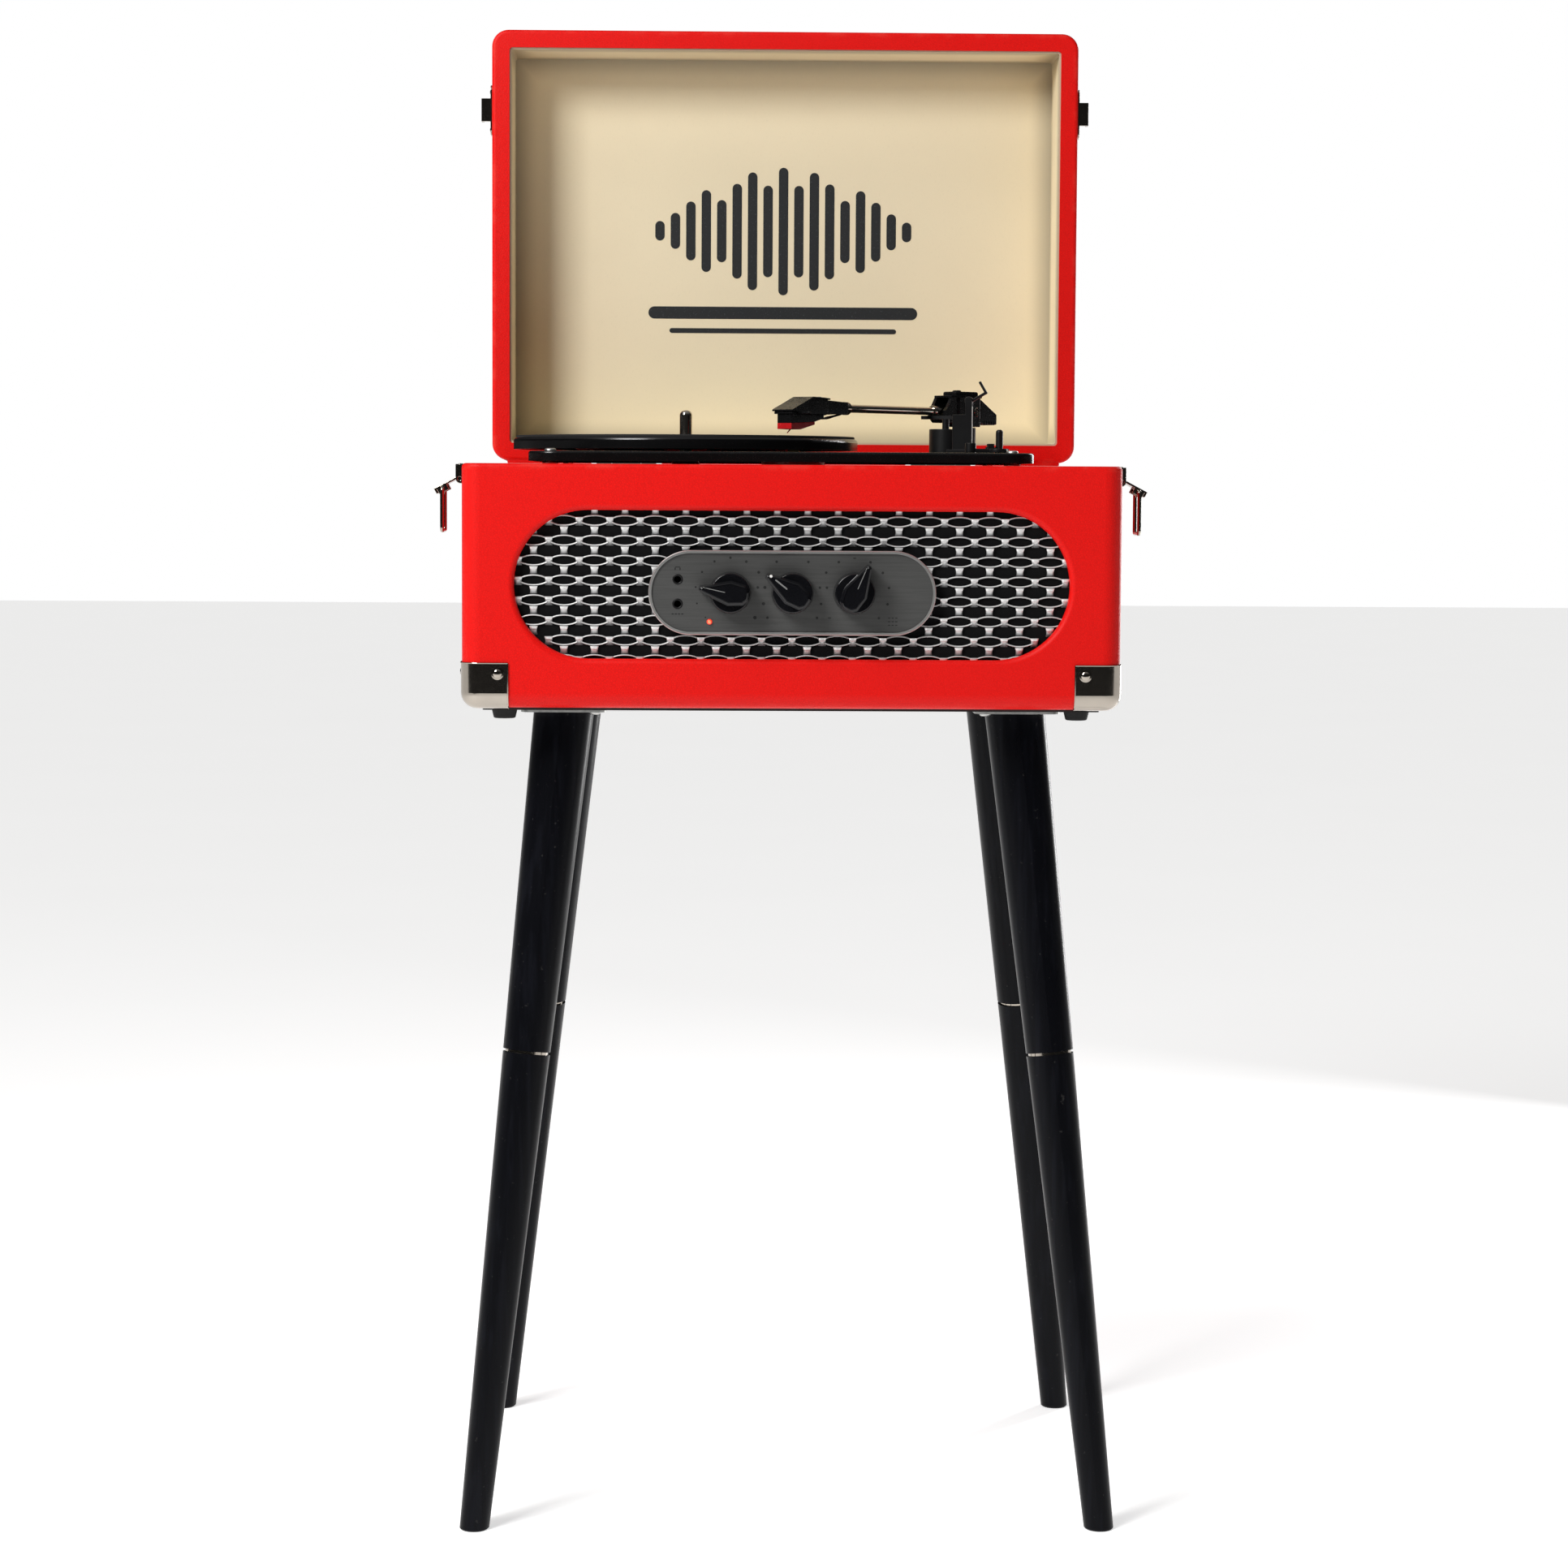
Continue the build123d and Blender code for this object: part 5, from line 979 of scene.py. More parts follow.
class PLAYER_OT_covering(Operator):
    """Add the overlap seams of the covering on the rear of case and lid"""

    bl_idname = "player.covering"
    bl_label = "Covering seams"

    def execute(self, context):
        width = context.scene.player_covering.seam
        sunk, proud, rim = -0.5 * MM, 0.3 * MM, 0.2 * MM
        off_centre = 30 * MM
        clear = 14 * MM  # left free at the two ends of a seam together
        upward_shift = 2.5 * MM
        low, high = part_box("case_body")
        place = facing((off_centre, high.y, (low.z + high.z) / 2 + upward_shift), (0, 1, 0))
        bm = bmesh.new()
        run = high.z - low.z - clear
        domed(bm, box_outline(width, run, 1.5 * MM), place, sunk, proud, rim)
        piece("case_seam", bm, "case", "case leather")
        low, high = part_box("lid_shell")
        hinges = sorted(islands("hinge_lid_leaves"), key=lambda b: b[0].x)
        gap = 3 * MM
        inset = 9 * MM
        ends = [low.x + inset]
        for leaf_low, leaf_high in hinges:
            ends += [leaf_low.x - gap, leaf_high.x + gap]
        ends.append(high.x - inset)
        bm = bmesh.new()
        for start, stop in zip(ends[::2], ends[1::2]):
            place = facing(((start + stop) / 2, low.y + 4.2 * MM, low.z), (0, 0, -1), (0, 1, 0))
            domed(bm, box_outline(stop - start, 6.4 * MM, 1.2 * MM), place, sunk, 1.7 * MM,
                  0.4 * MM)
        piece("lid_rear_welt", bm, "lid", "lid leather")
        place = facing((off_centre, (low.y + high.y) / 2, low.z), (0, 0, -1), (0, 1, 0))
        bm = bmesh.new()
        run = high.y - low.y - clear
        domed(bm, box_outline(width, run, 1.5 * MM), place, sunk, proud, rim)
        piece("lid_seam", bm, "lid", "lid leather")
        return {"FINISHED"}


class PLAYER_OT_lining(Operator):
    """Print a plain motif of rounded bars over two lines on the lid's lining"""

    bl_idname = "player.lining"
    bl_label = "Lining motif"

    def execute(self, context):
        low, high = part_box("lid_lining")
        wall = high.y - 1.0 * MM
        height_share = 0.505
        centre = ((low.x + high.x) / 2, wall, low.z + height_share * (high.z - low.z))
        place = facing(centre, FORWARD)
        half_row = (12, 22, 36, 50, 38, 58, 72, 56)
        heights = (*half_row, 78, *reversed(half_row))
        pitch, bar_width, bar_centre = 9.5 * MM, 5.8 * MM, 12 * MM
        thick = 0.12 * MM
        marks = [
            slot_outline(bar_width, height * MM, x=(i - len(half_row)) * pitch, y=bar_centre)
            for i, height in enumerate(heights)]
        marks.append(slot_outline(166 * MM, 7.5 * MM, y=-38 * MM))
        marks.append(slot_outline(140 * MM, 3.0 * MM, y=-49 * MM))
        bm = bmesh.new()
        for mark in marks:
            slab(bm, mark, place, -thick, thick)
        piece("lining_motif", bm, "lid", "print")
        return {"FINISHED"}


class PLAYER_OT_grille(Operator):
    """Form the expanded metal grille: bowed strands that meet at louvred bonds"""

    bl_idname = "player.grille"
    bl_label = "Speaker grille"

    def execute(self, context):
        sets = context.scene.player_grille
        low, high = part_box("grille_mesh")
        plate_low, plate_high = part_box("control_plate")
        back = high.y
        middle = middle_of((low, high))
        plate = middle_of((plate_low, plate_high))
        half_w = (high.x - low.x) / 2
        half_h = (high.z - low.z) / 2
        plate_w = (plate_high.x - plate_low.x) / 2
        plate_h = (plate_high.z - plate_low.z) / 2

        def in_slot(x, z, width, height):
            over = max(abs(x) - (width - height), 0.0)
            return math.hypot(over, z) < height

        def shown(x, z, dx, dz):
            inside = all(
                in_slot(x + sx * dx - middle.x, z + sz * dz - middle.z,
                        half_w - 1.2 * MM, half_h - 1.2 * MM)
                for sx in (-1, 1) for sz in (-1, 1))
            covered = all(
                in_slot(x + sx * dx - plate.x, z + sz * dz - plate.z,
                        plate_w - 2.5 * MM, plate_h - 2.5 * MM)
                for sx in (-1, 1) for sz in (-1, 1))
            return inside and not covered

        bm = bmesh.new()
        strand = sets.strand / 2
        section = [(strand * a, b * MM) for a, b in (
            (-1.0, 0.0), (1.0, 0.0), (1.15, 0.9), (0.7, 1.45), (-0.1, 1.55), (-0.9, 1.0))]
        span = sets.across / 2 - sets.bond_width * 0.28
        arc_steps = 12

        def arc(x, z, side):
            line = []
            for i in range(arc_steps + 1):
                u = 1 - 2 * i / arc_steps
                line.append(Vector((
                    x + span * u, back, z + side * sets.bow * (1 - 0.62 * abs(u) ** 2.2))))
            sweep(bm, line, section, FORWARD)

        lip = ((-0.5, 0.15), (-0.3, 0.6), (-0.05, 1.0), (0.14, 1.35), (0.2, 1.95), (0.44, 2.0),
               (0.5, 1.3))
        across = (-1.0, -0.86, -0.4, 0.4, 0.86, 1.0)

        def bond(x, z):
            rows = []
            for up, depth in lip:
                waist = 1 + 0.28 * (2 * up) ** 2
                row = []
                for u in across:
                    drop = 0.45 * abs(u) ** 6 * MM
                    row.append(bm.verts.new((
                        x + u * sets.bond_width / 2 * waist,
                        back - depth * MM + drop,
                        z + up * sets.bond_height)))
                rows.append(row)
            for first, second in zip(rows, rows[1:]):
                for i in range(len(across) - 1):
                    bm.faces.new([first[i], first[i + 1], second[i + 1], second[i]])
            ring = rows[0] + [r[-1] for r in rows[1:-1]] + rows[-1][::-1]
            ring += [r[0] for r in rows[-2:0:-1]]
            rear = [bm.verts.new((v.co.x, back, v.co.z)) for v in ring]
            walls(bm, [ring, rear])
            bm.faces.new(rear)

        columns = int(half_w / sets.across) + 2
        rows = int(half_h / sets.rise) + 2
        for row in range(-rows, rows + 1):
            z = middle.z + 2.1 * MM + row * sets.rise
            for column in range(-columns, columns + 1):
                x = middle.x + (column + 0.5) * sets.across
                for side in (-1, 1):
                    if shown(x, z + side * sets.bow * 0.7, span * 0.8, sets.bow * 0.3):
                        arc(x, z, side)
                for bx, bz in ((x + sets.across / 2, z - 0.4 * MM),
                               (x, z - sets.rise / 2 - 0.2 * MM)):
                    if shown(bx, bz, sets.bond_width * 0.4, sets.bond_height * 0.4):
                        bond(bx, bz)
        place = facing((middle.x, back, middle.z), FORWARD)
        frame_width, frame_depth = 3 * MM, 1.3 * MM
        outer = slot_outline(2 * half_w, 2 * half_h, 24)
        inner = slot_outline(2 * (half_w - frame_width), 2 * (half_h - frame_width), 24)
        rings = levelled(bm, [
            (outer, 0.0), (outer, frame_depth), (inner, frame_depth), (inner, 0.0)], place)
        walls(bm, rings + rings[:1])
        piece("grille_strands", bm, "case", "silver mesh", ("grille_mesh",), 50.0)
        return {"FINISHED"}


class PLAYER_OT_panel(Operator):
    """Print the dials and small marks of the control plate and line the jacks"""

    bl_idname = "player.panel"
    bl_label = "Control plate"

    def execute(self, context):
        sets = context.scene.player_control
        low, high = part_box("control_plate")
        face = low.y + 0.8 * MM
        proud = 0.06 * MM
        sweep_half = 135  # degrees a dial runs to each side of its top
        bm = bmesh.new()

        def stamp(outline, place, height=proud):
            slab(bm, outline, place, -proud, height)

        def dash(place, width, height, x=0.0, y=0.0, level=proud):
            stamp(box_outline(width * MM, height * MM, 0.2 * MM, x, y), place, level)

        last = sets.marks - 1
        for name in ("volume_knob", "source_knob", "tone_knob"):
            hub = joint_point(name + "_turn")
            place = facing((hub.x, face, hub.z), FORWARD)
            for i in range(sets.marks):
                turn = math.radians(90 + sweep_half - 2 * sweep_half * i / last)
                x = sets.dial * math.cos(turn)
                y = sets.dial * math.sin(turn)
                if name == "source_knob" and i % 2:
                    continue
                if name == "tone_knob" and i in (0, last // 2, last):
                    dash(place, 1.5, 0.5, x, y)
                    if i == last:
                        dash(place, 0.5, 1.5, x, y, proud * 0.9)
                    continue
                grow = 0.45 + 0.55 * i / last if name == "volume_knob" else 0.75
                stamp(round_outline(sets.dot * grow, 14, x, y), place)
        jacks = [middle_of(box) for box in islands("headphone_jacks")]
        for jack in jacks:
            if jack.z > (low.z + high.z) / 2:
                place = facing((jack.x, face, jack.z + 5.6 * MM), FORWARD)
                for side in (-1, 1):
                    stamp(box_outline(0.6 * MM, 1.3 * MM, 0.25 * MM, side * 1.3 * MM), place)
                stamp(slot_outline(2.6 * MM, 0.45 * MM, 5, 0, 0.9 * MM), place, proud * 0.9)
            else:
                place = facing((jack.x, face, jack.z - 5.4 * MM), FORWARD)
                for i in range(4):
                    dash(place, 1.1, 0.55, (i - 1.5) * 1.7 * MM)
        place = facing((high.x - 23 * MM, face, low.z + 7.5 * MM), FORWARD)
        pitch = 1.9 * MM
        for row in (-1, 0, 1):
            for column in (-1, 0, 1):
                dash(place, 1.2, 0.5, column * pitch, row * pitch)
        piece("panel_marks", bm, "case", "dark mark")
        bm = bmesh.new()
        for jack in jacks:
            place = facing((jack.x, face, jack.z), FORWARD)
            closed_lathe(bm, in_mm((
                (1.95, -0.6), (1.95, 0.18), (2.15, 0.32), (2.55, 0.32), (2.75, 0.16),
                (2.75, -0.6))), place, 32)
        piece("jack_collars", bm, "case", "plastic")
        return {"FINISHED"}


class PLAYER_OT_knobs(Operator):
    """Round the pointer knobs' edges and inlay their pointer lines"""

    bl_idname = "player.knobs"
    bl_label = "Knobs"

    def execute(self, context):
        edge = context.scene.player_turntable.soft_edge
        for name in ("volume_knob", "source_knob", "tone_knob"):
            softened(name, 2.2 * edge, "knob", segments=3)
            hub = joint_point(name + "_turn")
            low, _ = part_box(name)
            verts = frame["nodes"][name].data.vertices
            tip = max((v.co for v in verts), key=lambda c: math.hypot(c.x - hub.x, c.z - hub.z))
            toward = Vector((tip.x - hub.x, 0, tip.z - hub.z))
            reach = toward.length
            place = facing((hub.x, low.y, hub.z), FORWARD, toward)
            bm = bmesh.new()
            if name == "source_knob":
                domed(bm, round_outline(0.8 * MM, 20, 0, reach - 2.2 * MM), place,
                      -0.5 * MM, 0.3 * MM, 0.2 * MM)
                piece(name + "_dot", bm, name, "white mark")
                bm = bmesh.new()
                domed(bm, box_outline(0.8 * MM, reach - 9 * MM, 0.3 * MM, 0, reach / 2 - 0.6 * MM),
                      place, -0.4 * MM, 0.15 * MM, 0.1 * MM)
            else:
                line = box_outline(
                    0.4 * MM, reach - 5.0 * MM, 0.15 * MM, 0, reach / 2 + 0.4 * MM)
                domed(bm, line, place, -0.4 * MM, 0.12 * MM, 0.05 * MM)
            piece(name + "_line", bm, name, "silver mark")
        return {"FINISHED"}


class PLAYER_OT_guards(Operator):
    """Bead the corner guards and drive in every screw and dome nail"""

    bl_idname = "player.guards"
    bl_label = "Guards, screws and nails"

    def execute(self, context):
        body_low, body_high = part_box("case_body")
        guard_low, guard_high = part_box("base_corner_guards")
        out = body_low.x - guard_low.x
        corner = 10 * MM + out
        reach = 25 * MM
        bead = round_outline(0.38 * MM, 8)
        bm = bmesh.new()
        for sx in (-1, 1):
            for sy in (-1, 1):
                wall_x = guard_high.x if sx > 0 else guard_low.x
                wall_y = guard_high.y if sy > 0 else guard_low.y
                body_x = body_high.x if sx > 0 else body_low.x
                body_y = body_high.y if sy > 0 else body_low.y
                end_x = body_x - sx * reach
                end_y = body_y - sy * reach
                line = [Vector((end_x, wall_y, guard_high.z))]
                for i in range(9):
                    turn = math.pi / 2 * i / 8
                    line.append(Vector((
                        wall_x - sx * corner + sx * corner * math.sin(turn),
                        wall_y - sy * corner + sy * corner * math.cos(turn),
                        guard_high.z)))
                line.append(Vector((wall_x, end_y, guard_high.z)))
                sweep(bm, line, bead, UP)
                under = 8 * MM + out
                for first in (True, False):
                    line = []
                    start = Vector((end_x, wall_y, 0)) if first else Vector((wall_x, end_y, 0))
                    inward = Vector((0, -sy, 0)) if first else Vector((-sx, 0, 0))
                    line.append(start + UP * guard_high.z)
                    for i in range(7):
                        turn = math.pi / 2 * i / 6
                        line.append(
                            start + inward * (under * (1 - math.cos(turn)))
                            + UP * (guard_low.z + under * (1 - math.sin(turn))))
                    sweep(bm, line, bead, Vector((1, 0, 0)) if first else Vector((0, 1, 0)))
        piece("guard_beads", bm, "case", "nickel")
        bolts, nails = bmesh.new(), bmesh.new()
        centre = middle_of((body_low, body_high))
        shortest_bolt = 6 * MM
        for low, high in islands("case_screws"):
            size = high - low
            middle = (low + high) / 2
            if size.z > shortest_bolt:
                place = facing((middle.x, middle.y, low.z + DECK_SCREW[1]), (0, 0, -1), (0, 1, 0))
                pan_screw(bolts, place, *DECK_SCREW)
                continue
            thin_x = size.x > size.z * 0.5 and size.y > size.z * 0.5
            along = Vector((0, 0, 0))
            on_side = min(abs(low.x - guard_low.x), abs(high.x - guard_high.x)) < 1.2 * MM
            if on_side and thin_x:
                along.x = 1 if middle.x > centre.x else -1
                face = guard_high.x if along.x > 0 else guard_low.x
                place = facing((face, middle.y, middle.z), along)
            else:
                along.y = 1 if middle.y > centre.y else -1
                face = guard_high.y if along.y > 0 else guard_low.y
                place = facing((middle.x, face, middle.z), along)
            lathe(nails, in_mm((
                (0, -2.0), (2.1, -2.0), (2.1, -0.1), (3.3, 0.0), (3.35, 0.22), (2.7, 0.34),
                (2.3, 0.38), (2.05, 0.62), (1.5, 0.92), (0.8, 1.08), (0, 1.13))), place, 28)
        piece("bottom_screws", bolts, "case", "zinc", ("case_screws",))
        piece("guard_nails", nails, "case", "nickel")
        bm = bmesh.new()
        for low, high in islands("chassis_screws"):
            middle = (low + high) / 2
            place = facing((middle.x, middle.y, high.z - DECK_SCREW[1]), UP, (0, 1, 0))
            pan_screw(bm, place, *DECK_SCREW)
            lathe(bm, in_mm(((0, -14), (1.5, -14), (1.5, -0.2), (0, -0.2))), place, 16)
        piece("deck_screws", bm, "case", "zinc", ("chassis_screws",))
        return {"FINISHED"}


class PLAYER_OT_latches(Operator):
    """Finish the latches, their levers and the lid's catches, with rivets"""

    bl_idname = "player.latches"
    bl_label = "Latches"

    def execute(self, context):
        for node, rounding in (("latch_bases", 0.3), ("lid_catches", 0.25),
                               ("latch_lever_left", 0.25), ("latch_lever_right", 0.25)):
            softened(node, rounding * MM, "nickel")
        rivets = bmesh.new()
        dome = in_mm((
            (0, -0.6), (1.5, -0.6), (1.5, 0.15), (1.3, 0.5), (0.8, 0.75), (0, 0.85)))
        for low, high in islands("lid_catches"):
            side = 1 if low.x > 0 else -1
            face = low.x + 1.0 * MM if side > 0 else high.x - 1.0 * MM
            for end in (-1, 1):
                z = (low.z + high.z) / 2 + end * 11.2 * MM
                place = facing((face, (low.y + high.y) / 2 + 1.5 * MM, z), (side, 0, 0))
                lathe(rivets, dome, place, 20)
        piece("catch_rivets", rivets, "lid", "nickel")
        rivets = bmesh.new()
        for low, high in islands("latch_bases"):
            side = 1 if low.x > 0 else -1
            for end in (-1, 1):
                y = (low.y + high.y) / 2 + end * 7.2 * MM
                place = facing(((low.x + high.x) / 2 + side * 0.4 * MM, y, high.z), UP, (0, 1, 0))
                lathe(rivets, [(r * 0.6, h * 0.5) for r, h in dome], place, 16)
        piece("latch_rivets", rivets, "case", "nickel")
        return {"FINISHED"}


class PLAYER_OT_hinges(Operator):
    """Screw down the hinge leaves on case and lid"""

    bl_idname = "player.hinges"
    bl_label = "Hinge screws"

    def execute(self, context):
        axis = joint_point("lid_hinge")
        bm = bmesh.new()
        for low, high in islands("hinge_case_leaves"):
            for share in (0.14, 0.5, 0.86):
                x = low.x + share * (high.x - low.x)
                z = low.z + (5.5 if share != 0.5 else 9.5) * MM
                pan_screw(bm, facing((x, low.y + 1.2 * MM, z), (0, 1, 0)), *HINGE_SCREW)
        piece("hinge_case_screws", bm, "case", "zinc")
        bm = bmesh.new()
        for low, high in islands("hinge_lid_leaves"):
            for share in (0.14, 0.5, 0.86):
                x = low.x + share * (high.x - low.x)
                y = high.y - (5.5 if share != 0.5 else 9.5) * MM
                place = facing((x, y, axis.z + 1.6 * MM), (0, 0, -1), (0, 1, 0))
                pan_screw(bm, place, *HINGE_SCREW)
        piece("hinge_lid_screws", bm, "lid", "zinc")
        return {"FINISHED"}


class PLAYER_OT_sockets(Operator):
    """Fit the rear sockets' coloured collars and the socket plate's screws"""

    bl_idname = "player.sockets"
    bl_label = "Rear sockets"

    def execute(self, context):
        low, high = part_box("rear_plate")
        face = high.y
        boxes = sorted(islands("rear_sockets"), key=lambda b: b[0].x)
        looks = (("phono_collar_red", "red plastic"), ("phono_collar_white", "white plastic"))
        for (name, look), box in zip(looks, boxes):
            middle = middle_of(box)
            place = facing((middle.x, face, middle.z), (0, 1, 0))
            bm = bmesh.new()
            closed_lathe(bm, in_mm((
                (4.25, -0.2), (6.1, -0.2), (6.1, 0.9), (5.7, 1.3), (4.25, 1.3))), place, 40)
            closed_lathe(bm, in_mm(((1.75, 8.2), (3.2, 8.2), (3.2, 9.15), (1.75, 9.15))), place, 32)
            piece(name, bm, "case", look)
        bm = bmesh.new()
        inset = 4.5 * MM
        for x in (low.x + inset, high.x - inset):
            for z in (low.z + inset, high.z - inset):
                pan_screw(bm, facing((x, face, z), (0, 1, 0)), 2.3 * MM, 1.0 * MM)
        piece("socket_plate_screws", bm, "case", "dark zinc")
        return {"FINISHED"}


class PLAYER_OT_platter(Operator):
    """Lay a ribbed rubber mat on the platter"""

    bl_idname = "player.platter"
    bl_label = "Platter mat"

    def execute(self, context):
        sets = context.scene.player_turntable
        low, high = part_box("platter_mat")
        radius = (high.x - low.x) / 2
        centre = joint_point("platter_spin")
        rise = high.z - low.z
        bore = 4.2 * MM
        rim_round, bore_round, slope = 0.35 * MM, 0.3 * MM, 0.12 * MM
        groove = sets.ring_pitch * 0.45
        label_edge = 51 * MM
        floor = rise - sets.ring_rise
        at = radius - 3.4 * MM
        line = [(bore, 0.0), (radius, 0.0), (radius, rise - rim_round),
                (radius - rim_round, rise), (at, rise)]
        while at - sets.ring_pitch > label_edge:
            line += [(at - slope, floor), (at - groove, floor), (at - groove - slope, rise),
                     (at - sets.ring_pitch, rise)]
            at -= sets.ring_pitch
        line += [(50 * MM, floor), (46 * MM, floor), (45.7 * MM, rise), (20 * MM, rise),
                 (19.8 * MM, floor), (18 * MM, floor), (17.8 * MM, rise),
                 (bore + bore_round, rise), (bore, rise - bore_round)]
        bm = bmesh.new()
        closed_lathe(bm, line, Matrix.Translation((centre.x, centre.y, low.z)), 128)
        piece("ribbed_mat", bm, "platter", "rubber", ("platter_mat",), 25.0)
        return {"FINISHED"}


class PLAYER_OT_tonearm(Operator):
    """Finish the tonearm: shell cap, cartridge, leads, yoke cover, ribs and weight"""

    bl_idname = "player.tonearm"
    bl_label = "Tonearm"

    def execute(self, context):
        sets = context.scene.player_turntable
        edge = sets.soft_edge
        lift = joint("tonearm_lift")
        axis = Vector(lift["axis"])
        pivot = Vector(lift["pos_m"])
        ahead = Vector((-axis.y, axis.x, 0)).normalized()
        across = UP.cross(ahead)
        arm = Matrix((
            (ahead.x, across.x, 0, pivot.x), (ahead.y, across.y, 0, pivot.y),
            (0, 0, 1, pivot.z), (0, 0, 0, 1)))

        for node, rounding, look, slot in (
                ("headshell", 1.0, "gloss black", "black_plastic"),
                ("cartridge", 0.7, "gloss black", "black_plastic"),
                ("stylus", 0.5, "stylus", "stylus_red"),
                ("counterweight", 1.6, "gloss black", "zinc_steel"),
                ("tonearm_yoke", 1.0, "gloss black", "black_plastic"),
                ("tonearm_base", 1.0, "plastic", "black_plastic")):
            softened(node, edge * rounding, look)

        def strip(bm, line, half, thick):
            """Bent strip through (x, z) points, of a given half width, above the line."""
            rows = []
            for x, z in line:
                rows.append([bm.verts.new(arm @ Vector((x * MM, side * half * MM, (z + t) * MM)))
                             for side, t in ((-1, 0), (1, 0), (1, thick), (-1, thick))])
            closed_body(bm, rows)

        bm = bmesh.new()
        strip(bm, [(136.2, 4.2), (141.0, 4.55), (151.0, 4.85), (160.0, 1.2), (167.7, -1.75),
                   (169.3, -2.5)], 7.2, 0.85)
        round_edges(bm, 50.0, 0.25 * MM)
        piece("headshell_cap", bm, "arm", "gloss black")

        bm = bmesh.new()
        for x, y in ((141.5, -3.6), (141.5, 3.6)):
            place = arm @ Matrix.Translation((x * MM, y * MM, 5.3 * MM))
            pan_screw(bm, place, 1.3 * MM, 0.6 * MM)
        piece("headshell_screws", bm, "arm", "zinc")

        for i, look in enumerate(("red plastic", "white plastic", "copper", "dark mark")):
            y = (i - 1.5) * 1.9
            bm = bmesh.new()
            points = [(139.5, y, -5.6), (136.0, y, -6.2), (132.0, y * 0.9, -5.9),
                      (127.0, y * 0.7, -4.9), (121.0, y * 0.5, -3.9), (117.0, y * 0.3, -3.0)]
            line = smooth_path([arm @ (Vector(p) * MM) for p in points], 5)
            sweep(bm, line, round_outline(sets.lead, 8), across)
            piece("cartridge_lead_" + str(i + 1), bm, "arm", look)

        bm = bmesh.new()
        turned = arm @ Matrix.Rotation(math.pi / 2, 4, "Y")
        closed_lathe(bm, in_mm((
            (2.35, 112.0), (3.4, 112.0), (3.7, 112.4), (3.7, 115.0), (3.4, 115.6),
            (2.35, 115.6))), turned, 32)
        closed_lathe(bm, in_mm((
            (2.35, 31.0), (3.2, 31.0), (3.2, 33.2), (2.8, 33.8), (2.35, 33.8))), turned, 32)
        piece("tube_collars", bm, "arm", "nickel")

        _, yoke_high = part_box("tonearm_yoke")
        top = (yoke_high.z - 2.5 * MM - pivot.z) / MM
        bm = bmesh.new()
        cover = in_mm((
            (-6.6, -6.4), (-6.6, 6.4), (-4.5, 8.3), (13.5, 8.3), (22.5, 6.2), (24.0, 0),
            (22.5, -6.2), (13.5, -8.3), (-4.5, -8.3)))
        domed(bm, cover, arm, (top - 0.4) * MM, (top + 0.8) * MM, 0.3 * MM)
        cap = in_mm((
            (-3.5, -5.0), (-4.5, 5.0), (-2.5, 6.8), (10.0, 6.8), (16.0, 4.6), (17.0, 0),
            (16.0, -4.6), (10.0, -6.8), (-2.5, -6.8)))
        domed(bm, cap, arm, (top + 0.4) * MM, (top + 3.2) * MM, 0.8 * MM)
        post = arm @ Matrix.Translation((3 * MM, -4.5 * MM, 0))
        lathe(bm, in_mm((
            (0, top + 2), (2.6, top + 2), (2.6, top + 3.8), (2.1, top + 4.3), (0, top + 4.3))),
            post, 28)
        for side in (-1, 1):
            for x in (4.0, 7.0, 10.0):
                slab(bm, box_outline(0.9 * MM, 0.9 * MM, 0.2 * MM, x * MM, side * 7.6 * MM), arm,
                     -4.4 * MM, (top - 0.3) * MM)
            cheek = in_mm((
                (15.5, -6.5), (15.5, top - 0.2), (22.0, top - 0.2), (26.0, 2.5), (28.5, 0.5),
                (28.5, -3.0), (24.0, -6.5)))
            inner, outer = sorted((side * 4.4, side * 6.4))
            upright = arm @ Matrix.Rotation(math.pi / 2, 4, "X")
            slab(bm, cheek, upright, -outer * MM, -inner * MM)
        piece("yoke_cover", bm, "yoke", "gloss black")

        bm = bmesh.new()
        for side in (-1, 1):
            origin = arm @ Vector((0, side * 7.4 * MM, 0))
            place = facing(origin, across * side)
            lathe(bm, in_mm((
                (0, -0.3), (2.6, -0.3), (2.6, 0.5), (2.3, 0.8), (1.2, 0.8), (1.0, 0.45),
                (0, 0.45))), place, 28)
        piece("pivot_caps", bm, "yoke", "nickel")

        bm = bmesh.new()
        for i in range(5):
            slab(bm, box_outline(0.5 * MM, 13.6 * MM, 0.2 * MM, (-9.5 - i * 2.4) * MM, 0), arm,
                 -7.25 * MM, -5.0 * MM)
        piece("weight_ribs", bm, "arm", "gloss black")
        return {"FINISHED"}


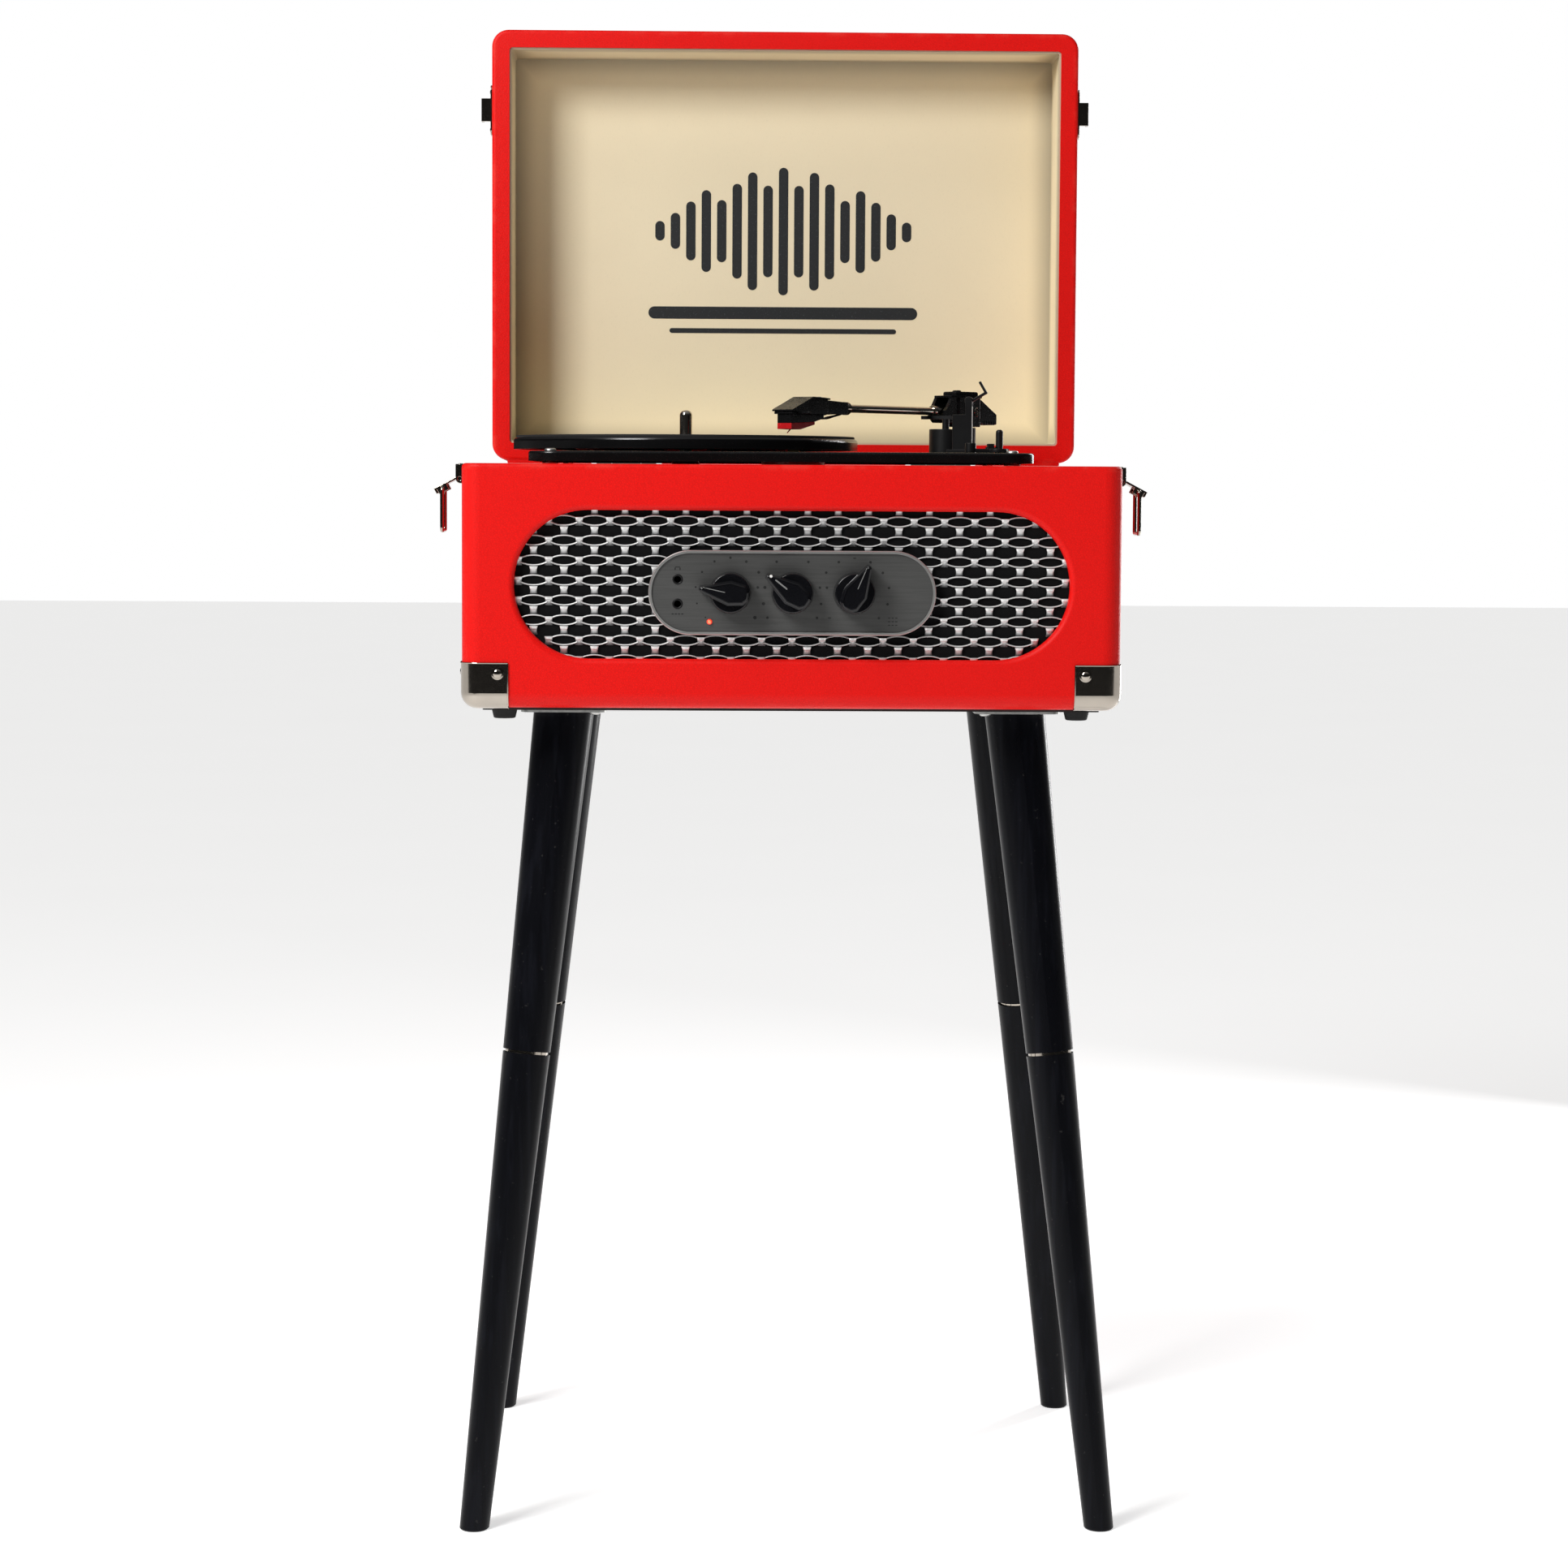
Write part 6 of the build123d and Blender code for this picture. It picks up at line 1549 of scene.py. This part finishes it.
class PLAYER_OT_small_controls(Operator):
    """Finish the arm rest, its clip, the speed lever and the stop switch"""

    bl_idname = "player.small_controls"
    bl_label = "Small controls"

    def execute(self, context):
        edge = context.scene.player_turntable.soft_edge
        for node in ("arm_rest", "arm_clip", "speed_lever", "auto_stop_switch"):
            softened(node, edge * 0.8, "plastic")
        hub = joint_point("speed_lever_turn")
        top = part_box("chassis")[1].z
        low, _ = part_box("speed_lever")
        sunk, proud = -0.05 * MM, 0.06 * MM
        bm = bmesh.new()
        reach = hub.x - low.x + 3.5 * MM
        for i, turn in enumerate((-18, 0, 18)):
            angle = math.radians(180 + turn)
            place = Matrix.Translation((
                hub.x + reach * math.cos(angle), hub.y + reach * math.sin(angle), top))
            for k in range(i + 1):
                slab(bm, round_outline(0.45 * MM, 12, -k * 1.5 * MM, 0), place, sunk, proud)
        stop_low, stop_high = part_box("auto_stop_switch")
        for i, y in enumerate((stop_low.y - 3.0 * MM, stop_high.y + 9.0 * MM)):
            place = Matrix.Translation(((stop_low.x + stop_high.x) / 2, y, top))
            if i:
                outline = round_outline(0.9 * MM, 16)
            else:
                outline = box_outline(0.5 * MM, 1.9 * MM, 0.2 * MM)
            slab(bm, outline, place, sunk, proud)
        piece("deck_marks", bm, "case", "white mark")
        bm = bmesh.new()
        ribs = 4
        for i in range(ribs):
            y = stop_low.y + (i + 1) * (stop_high.y - stop_low.y) / (ribs + 1)
            slab(bm, box_outline(3.8 * MM, 0.5 * MM, 0.2 * MM, (stop_low.x + stop_high.x) / 2, y),
                 Matrix.Translation((0, 0, stop_high.z)), -0.2 * MM, 0.3 * MM)
        piece("stop_switch_grip", bm, "auto_stop", "plastic")
        return {"FINISHED"}


class PLAYER_OT_stage(Operator):
    """Set the floor, the soft lights, the surroundings and the camera"""

    bl_idname = "player.stage"
    bl_label = "Studio"

    def execute(self, context):
        sets = context.scene.player_studio
        scene = context.scene
        half = sets.floor
        bm = bmesh.new()
        front = -sets.floor_front
        corners = ((-half, front), (half, front), (half, half), (-half, half))
        bm.faces.new([bm.verts.new((x, y, 0)) for x, y in corners])
        mesh = bpy.data.meshes.new("floor")
        bm.to_mesh(mesh)
        bm.free()
        floor = placed("floor", mesh, Matrix())
        s = Surface("Pale floor", {
            "Specular IOR Level": 0.1, "Emission Color": (1.0, 1.0, 1.0),
            "Emission Strength": sets.floor_glow})
        cloud = s.noise(3.0, 3.0)
        s.paint(colour=s.mix(cloud, (0.90, 0.90, 0.90), (0.93, 0.93, 0.93)),
                roughness=0.75 + cloud * 0.1)
        mesh.materials.append(s.material)

        world = bpy.data.worlds.new("Studio")
        nodes = Nodes(world)
        seen = nodes.tree.nodes["Background"]
        nodes.feed(seen.inputs["Color"], (1.0, 1.0, 1.0))
        _, _, height = nodes.parts(nodes.add("ShaderNodeTexCoord", output="Generated"))
        share = nodes.add("ShaderNodeMapRange", None, {"Value": height, "From Min": -1.0})
        levels = ((0.0, 0.4), (0.4, 0.15), (0.47, 0.015), (0.66, 0.015), (0.8, 0.08), (1.0, 0.3))
        grey = nodes.add(
            "ShaderNodeValToRGB", {"stops": [(at, (level,) * 3) for at, level in levels]},
            {0: share})
        room = nodes.add("ShaderNodeBackground", None, {"Strength": sets.room})
        mirrored = nodes.add("ShaderNodeBackground", None, {"Color": grey})
        by_gloss = nodes.add("ShaderNodeMixShader", None, {
            0: nodes.add("ShaderNodeLightPath", output="Is Glossy Ray"), 1: room, 2: mirrored})
        by_camera = nodes.add("ShaderNodeMixShader", None, {
            0: nodes.add("ShaderNodeLightPath", output="Is Camera Ray"), 1: by_gloss,
            2: Value(nodes, seen.outputs[0])})
        nodes.feed(nodes.tree.nodes["World Output"].inputs["Surface"], by_camera)
        scene.world = world

        toward = Vector((
            -math.sin(sets.sun_turn) * math.cos(sets.sun_rise),
            -math.cos(sets.sun_turn) * math.cos(sets.sun_rise),
            math.sin(sets.sun_rise)))
        lamp = bpy.data.lights.new("key", "SUN")
        lamp.energy = sets.sun
        lamp.angle = sets.sun_size
        lamp.color = (1.0, 0.99, 0.97)
        placed("key", lamp, facing(toward * 3, toward))
        low, high = CAD_BOX
        aim_height = 0.56
        aim = Vector((0, (low.y + high.y) / 2, aim_height))
        panels = (
            ("left panel", (-0.9, -1.05, 1.42), (0.5, 0.5), sets.window),
            ("right strip", (0.85, 0.95, 0.7), (0.2, 1.1), sets.strip),
        )
        for name, spot_at, size, power in panels:
            lamp = bpy.data.lights.new(name, "AREA")
            lamp.shape = "RECTANGLE"
            lamp.size, lamp.size_y = size
            lamp.energy = power
            placed(name, lamp, facing(spot_at, Vector(spot_at) - aim))

        yaw, pitch, roll = sets.heading
        look = Vector((math.sin(yaw) * math.cos(pitch), math.cos(yaw) * math.cos(pitch),
                       math.sin(pitch)))
        camera = bpy.data.cameras.new("camera")
        camera.lens = sets.lens
        camera.sensor_width = 36.0
        camera.shift_y = sets.shift
        camera.clip_start, camera.clip_end = 0.05, 60.0
        scene.camera = placed(
            "camera", camera, facing(sets.eye, -look) @ Matrix.Rotation(roll, 4, "Z"))
        scene.view_settings.view_transform = "Standard"
        scene.view_settings.look = "None"
        return {"FINISHED"}


class PLAYER_PT_sidebar(Panel):
    """Lists the steps and settings of the record player"""

    bl_idname = "PLAYER_PT_sidebar"
    bl_label = "Suitcase Record Player"
    bl_space_type = "VIEW_3D"
    bl_region_type = "UI"
    bl_category = "Record Player"

    def draw(self, context):
        for step in STEPS:
            self.layout.operator(step.bl_idname)
        for group in GROUPS:
            column = self.layout.column(heading=group)
            settings = getattr(context.scene, group)
            for name in settings.__annotations__:
                column.prop(settings, name)


STEPS = (
    PLAYER_OT_finishes,
    PLAYER_OT_covering,
    PLAYER_OT_lining,
    PLAYER_OT_grille,
    PLAYER_OT_panel,
    PLAYER_OT_knobs,
    PLAYER_OT_guards,
    PLAYER_OT_latches,
    PLAYER_OT_hinges,
    PLAYER_OT_sockets,
    PLAYER_OT_platter,
    PLAYER_OT_tonearm,
    PLAYER_OT_small_controls,
    PLAYER_OT_stage,
)
GROUPS = {
    "player_covering": CoveringSettings,
    "player_grille": GrilleSettings,
    "player_control": ControlSettings,
    "player_turntable": TurntableSettings,
    "player_studio": StudioSettings,
}


def register():
    for group, kind in GROUPS.items():
        bpy.utils.register_class(kind)
        setattr(bpy.types.Scene, group, PointerProperty(type=kind))
    for kind in (*STEPS, PLAYER_PT_sidebar):
        bpy.utils.register_class(kind)


def unregister():
    for kind in (PLAYER_PT_sidebar, *reversed(STEPS)):
        bpy.utils.unregister_class(kind)
    for group, kind in GROUPS.items():
        delattr(bpy.types.Scene, group)
        bpy.utils.unregister_class(kind)


def main():
    register()
    for step in STEPS:
        group, name = step.bl_idname.split(".")
        getattr(getattr(bpy.ops, group), name)()


if __name__ == "__main__":
    main()
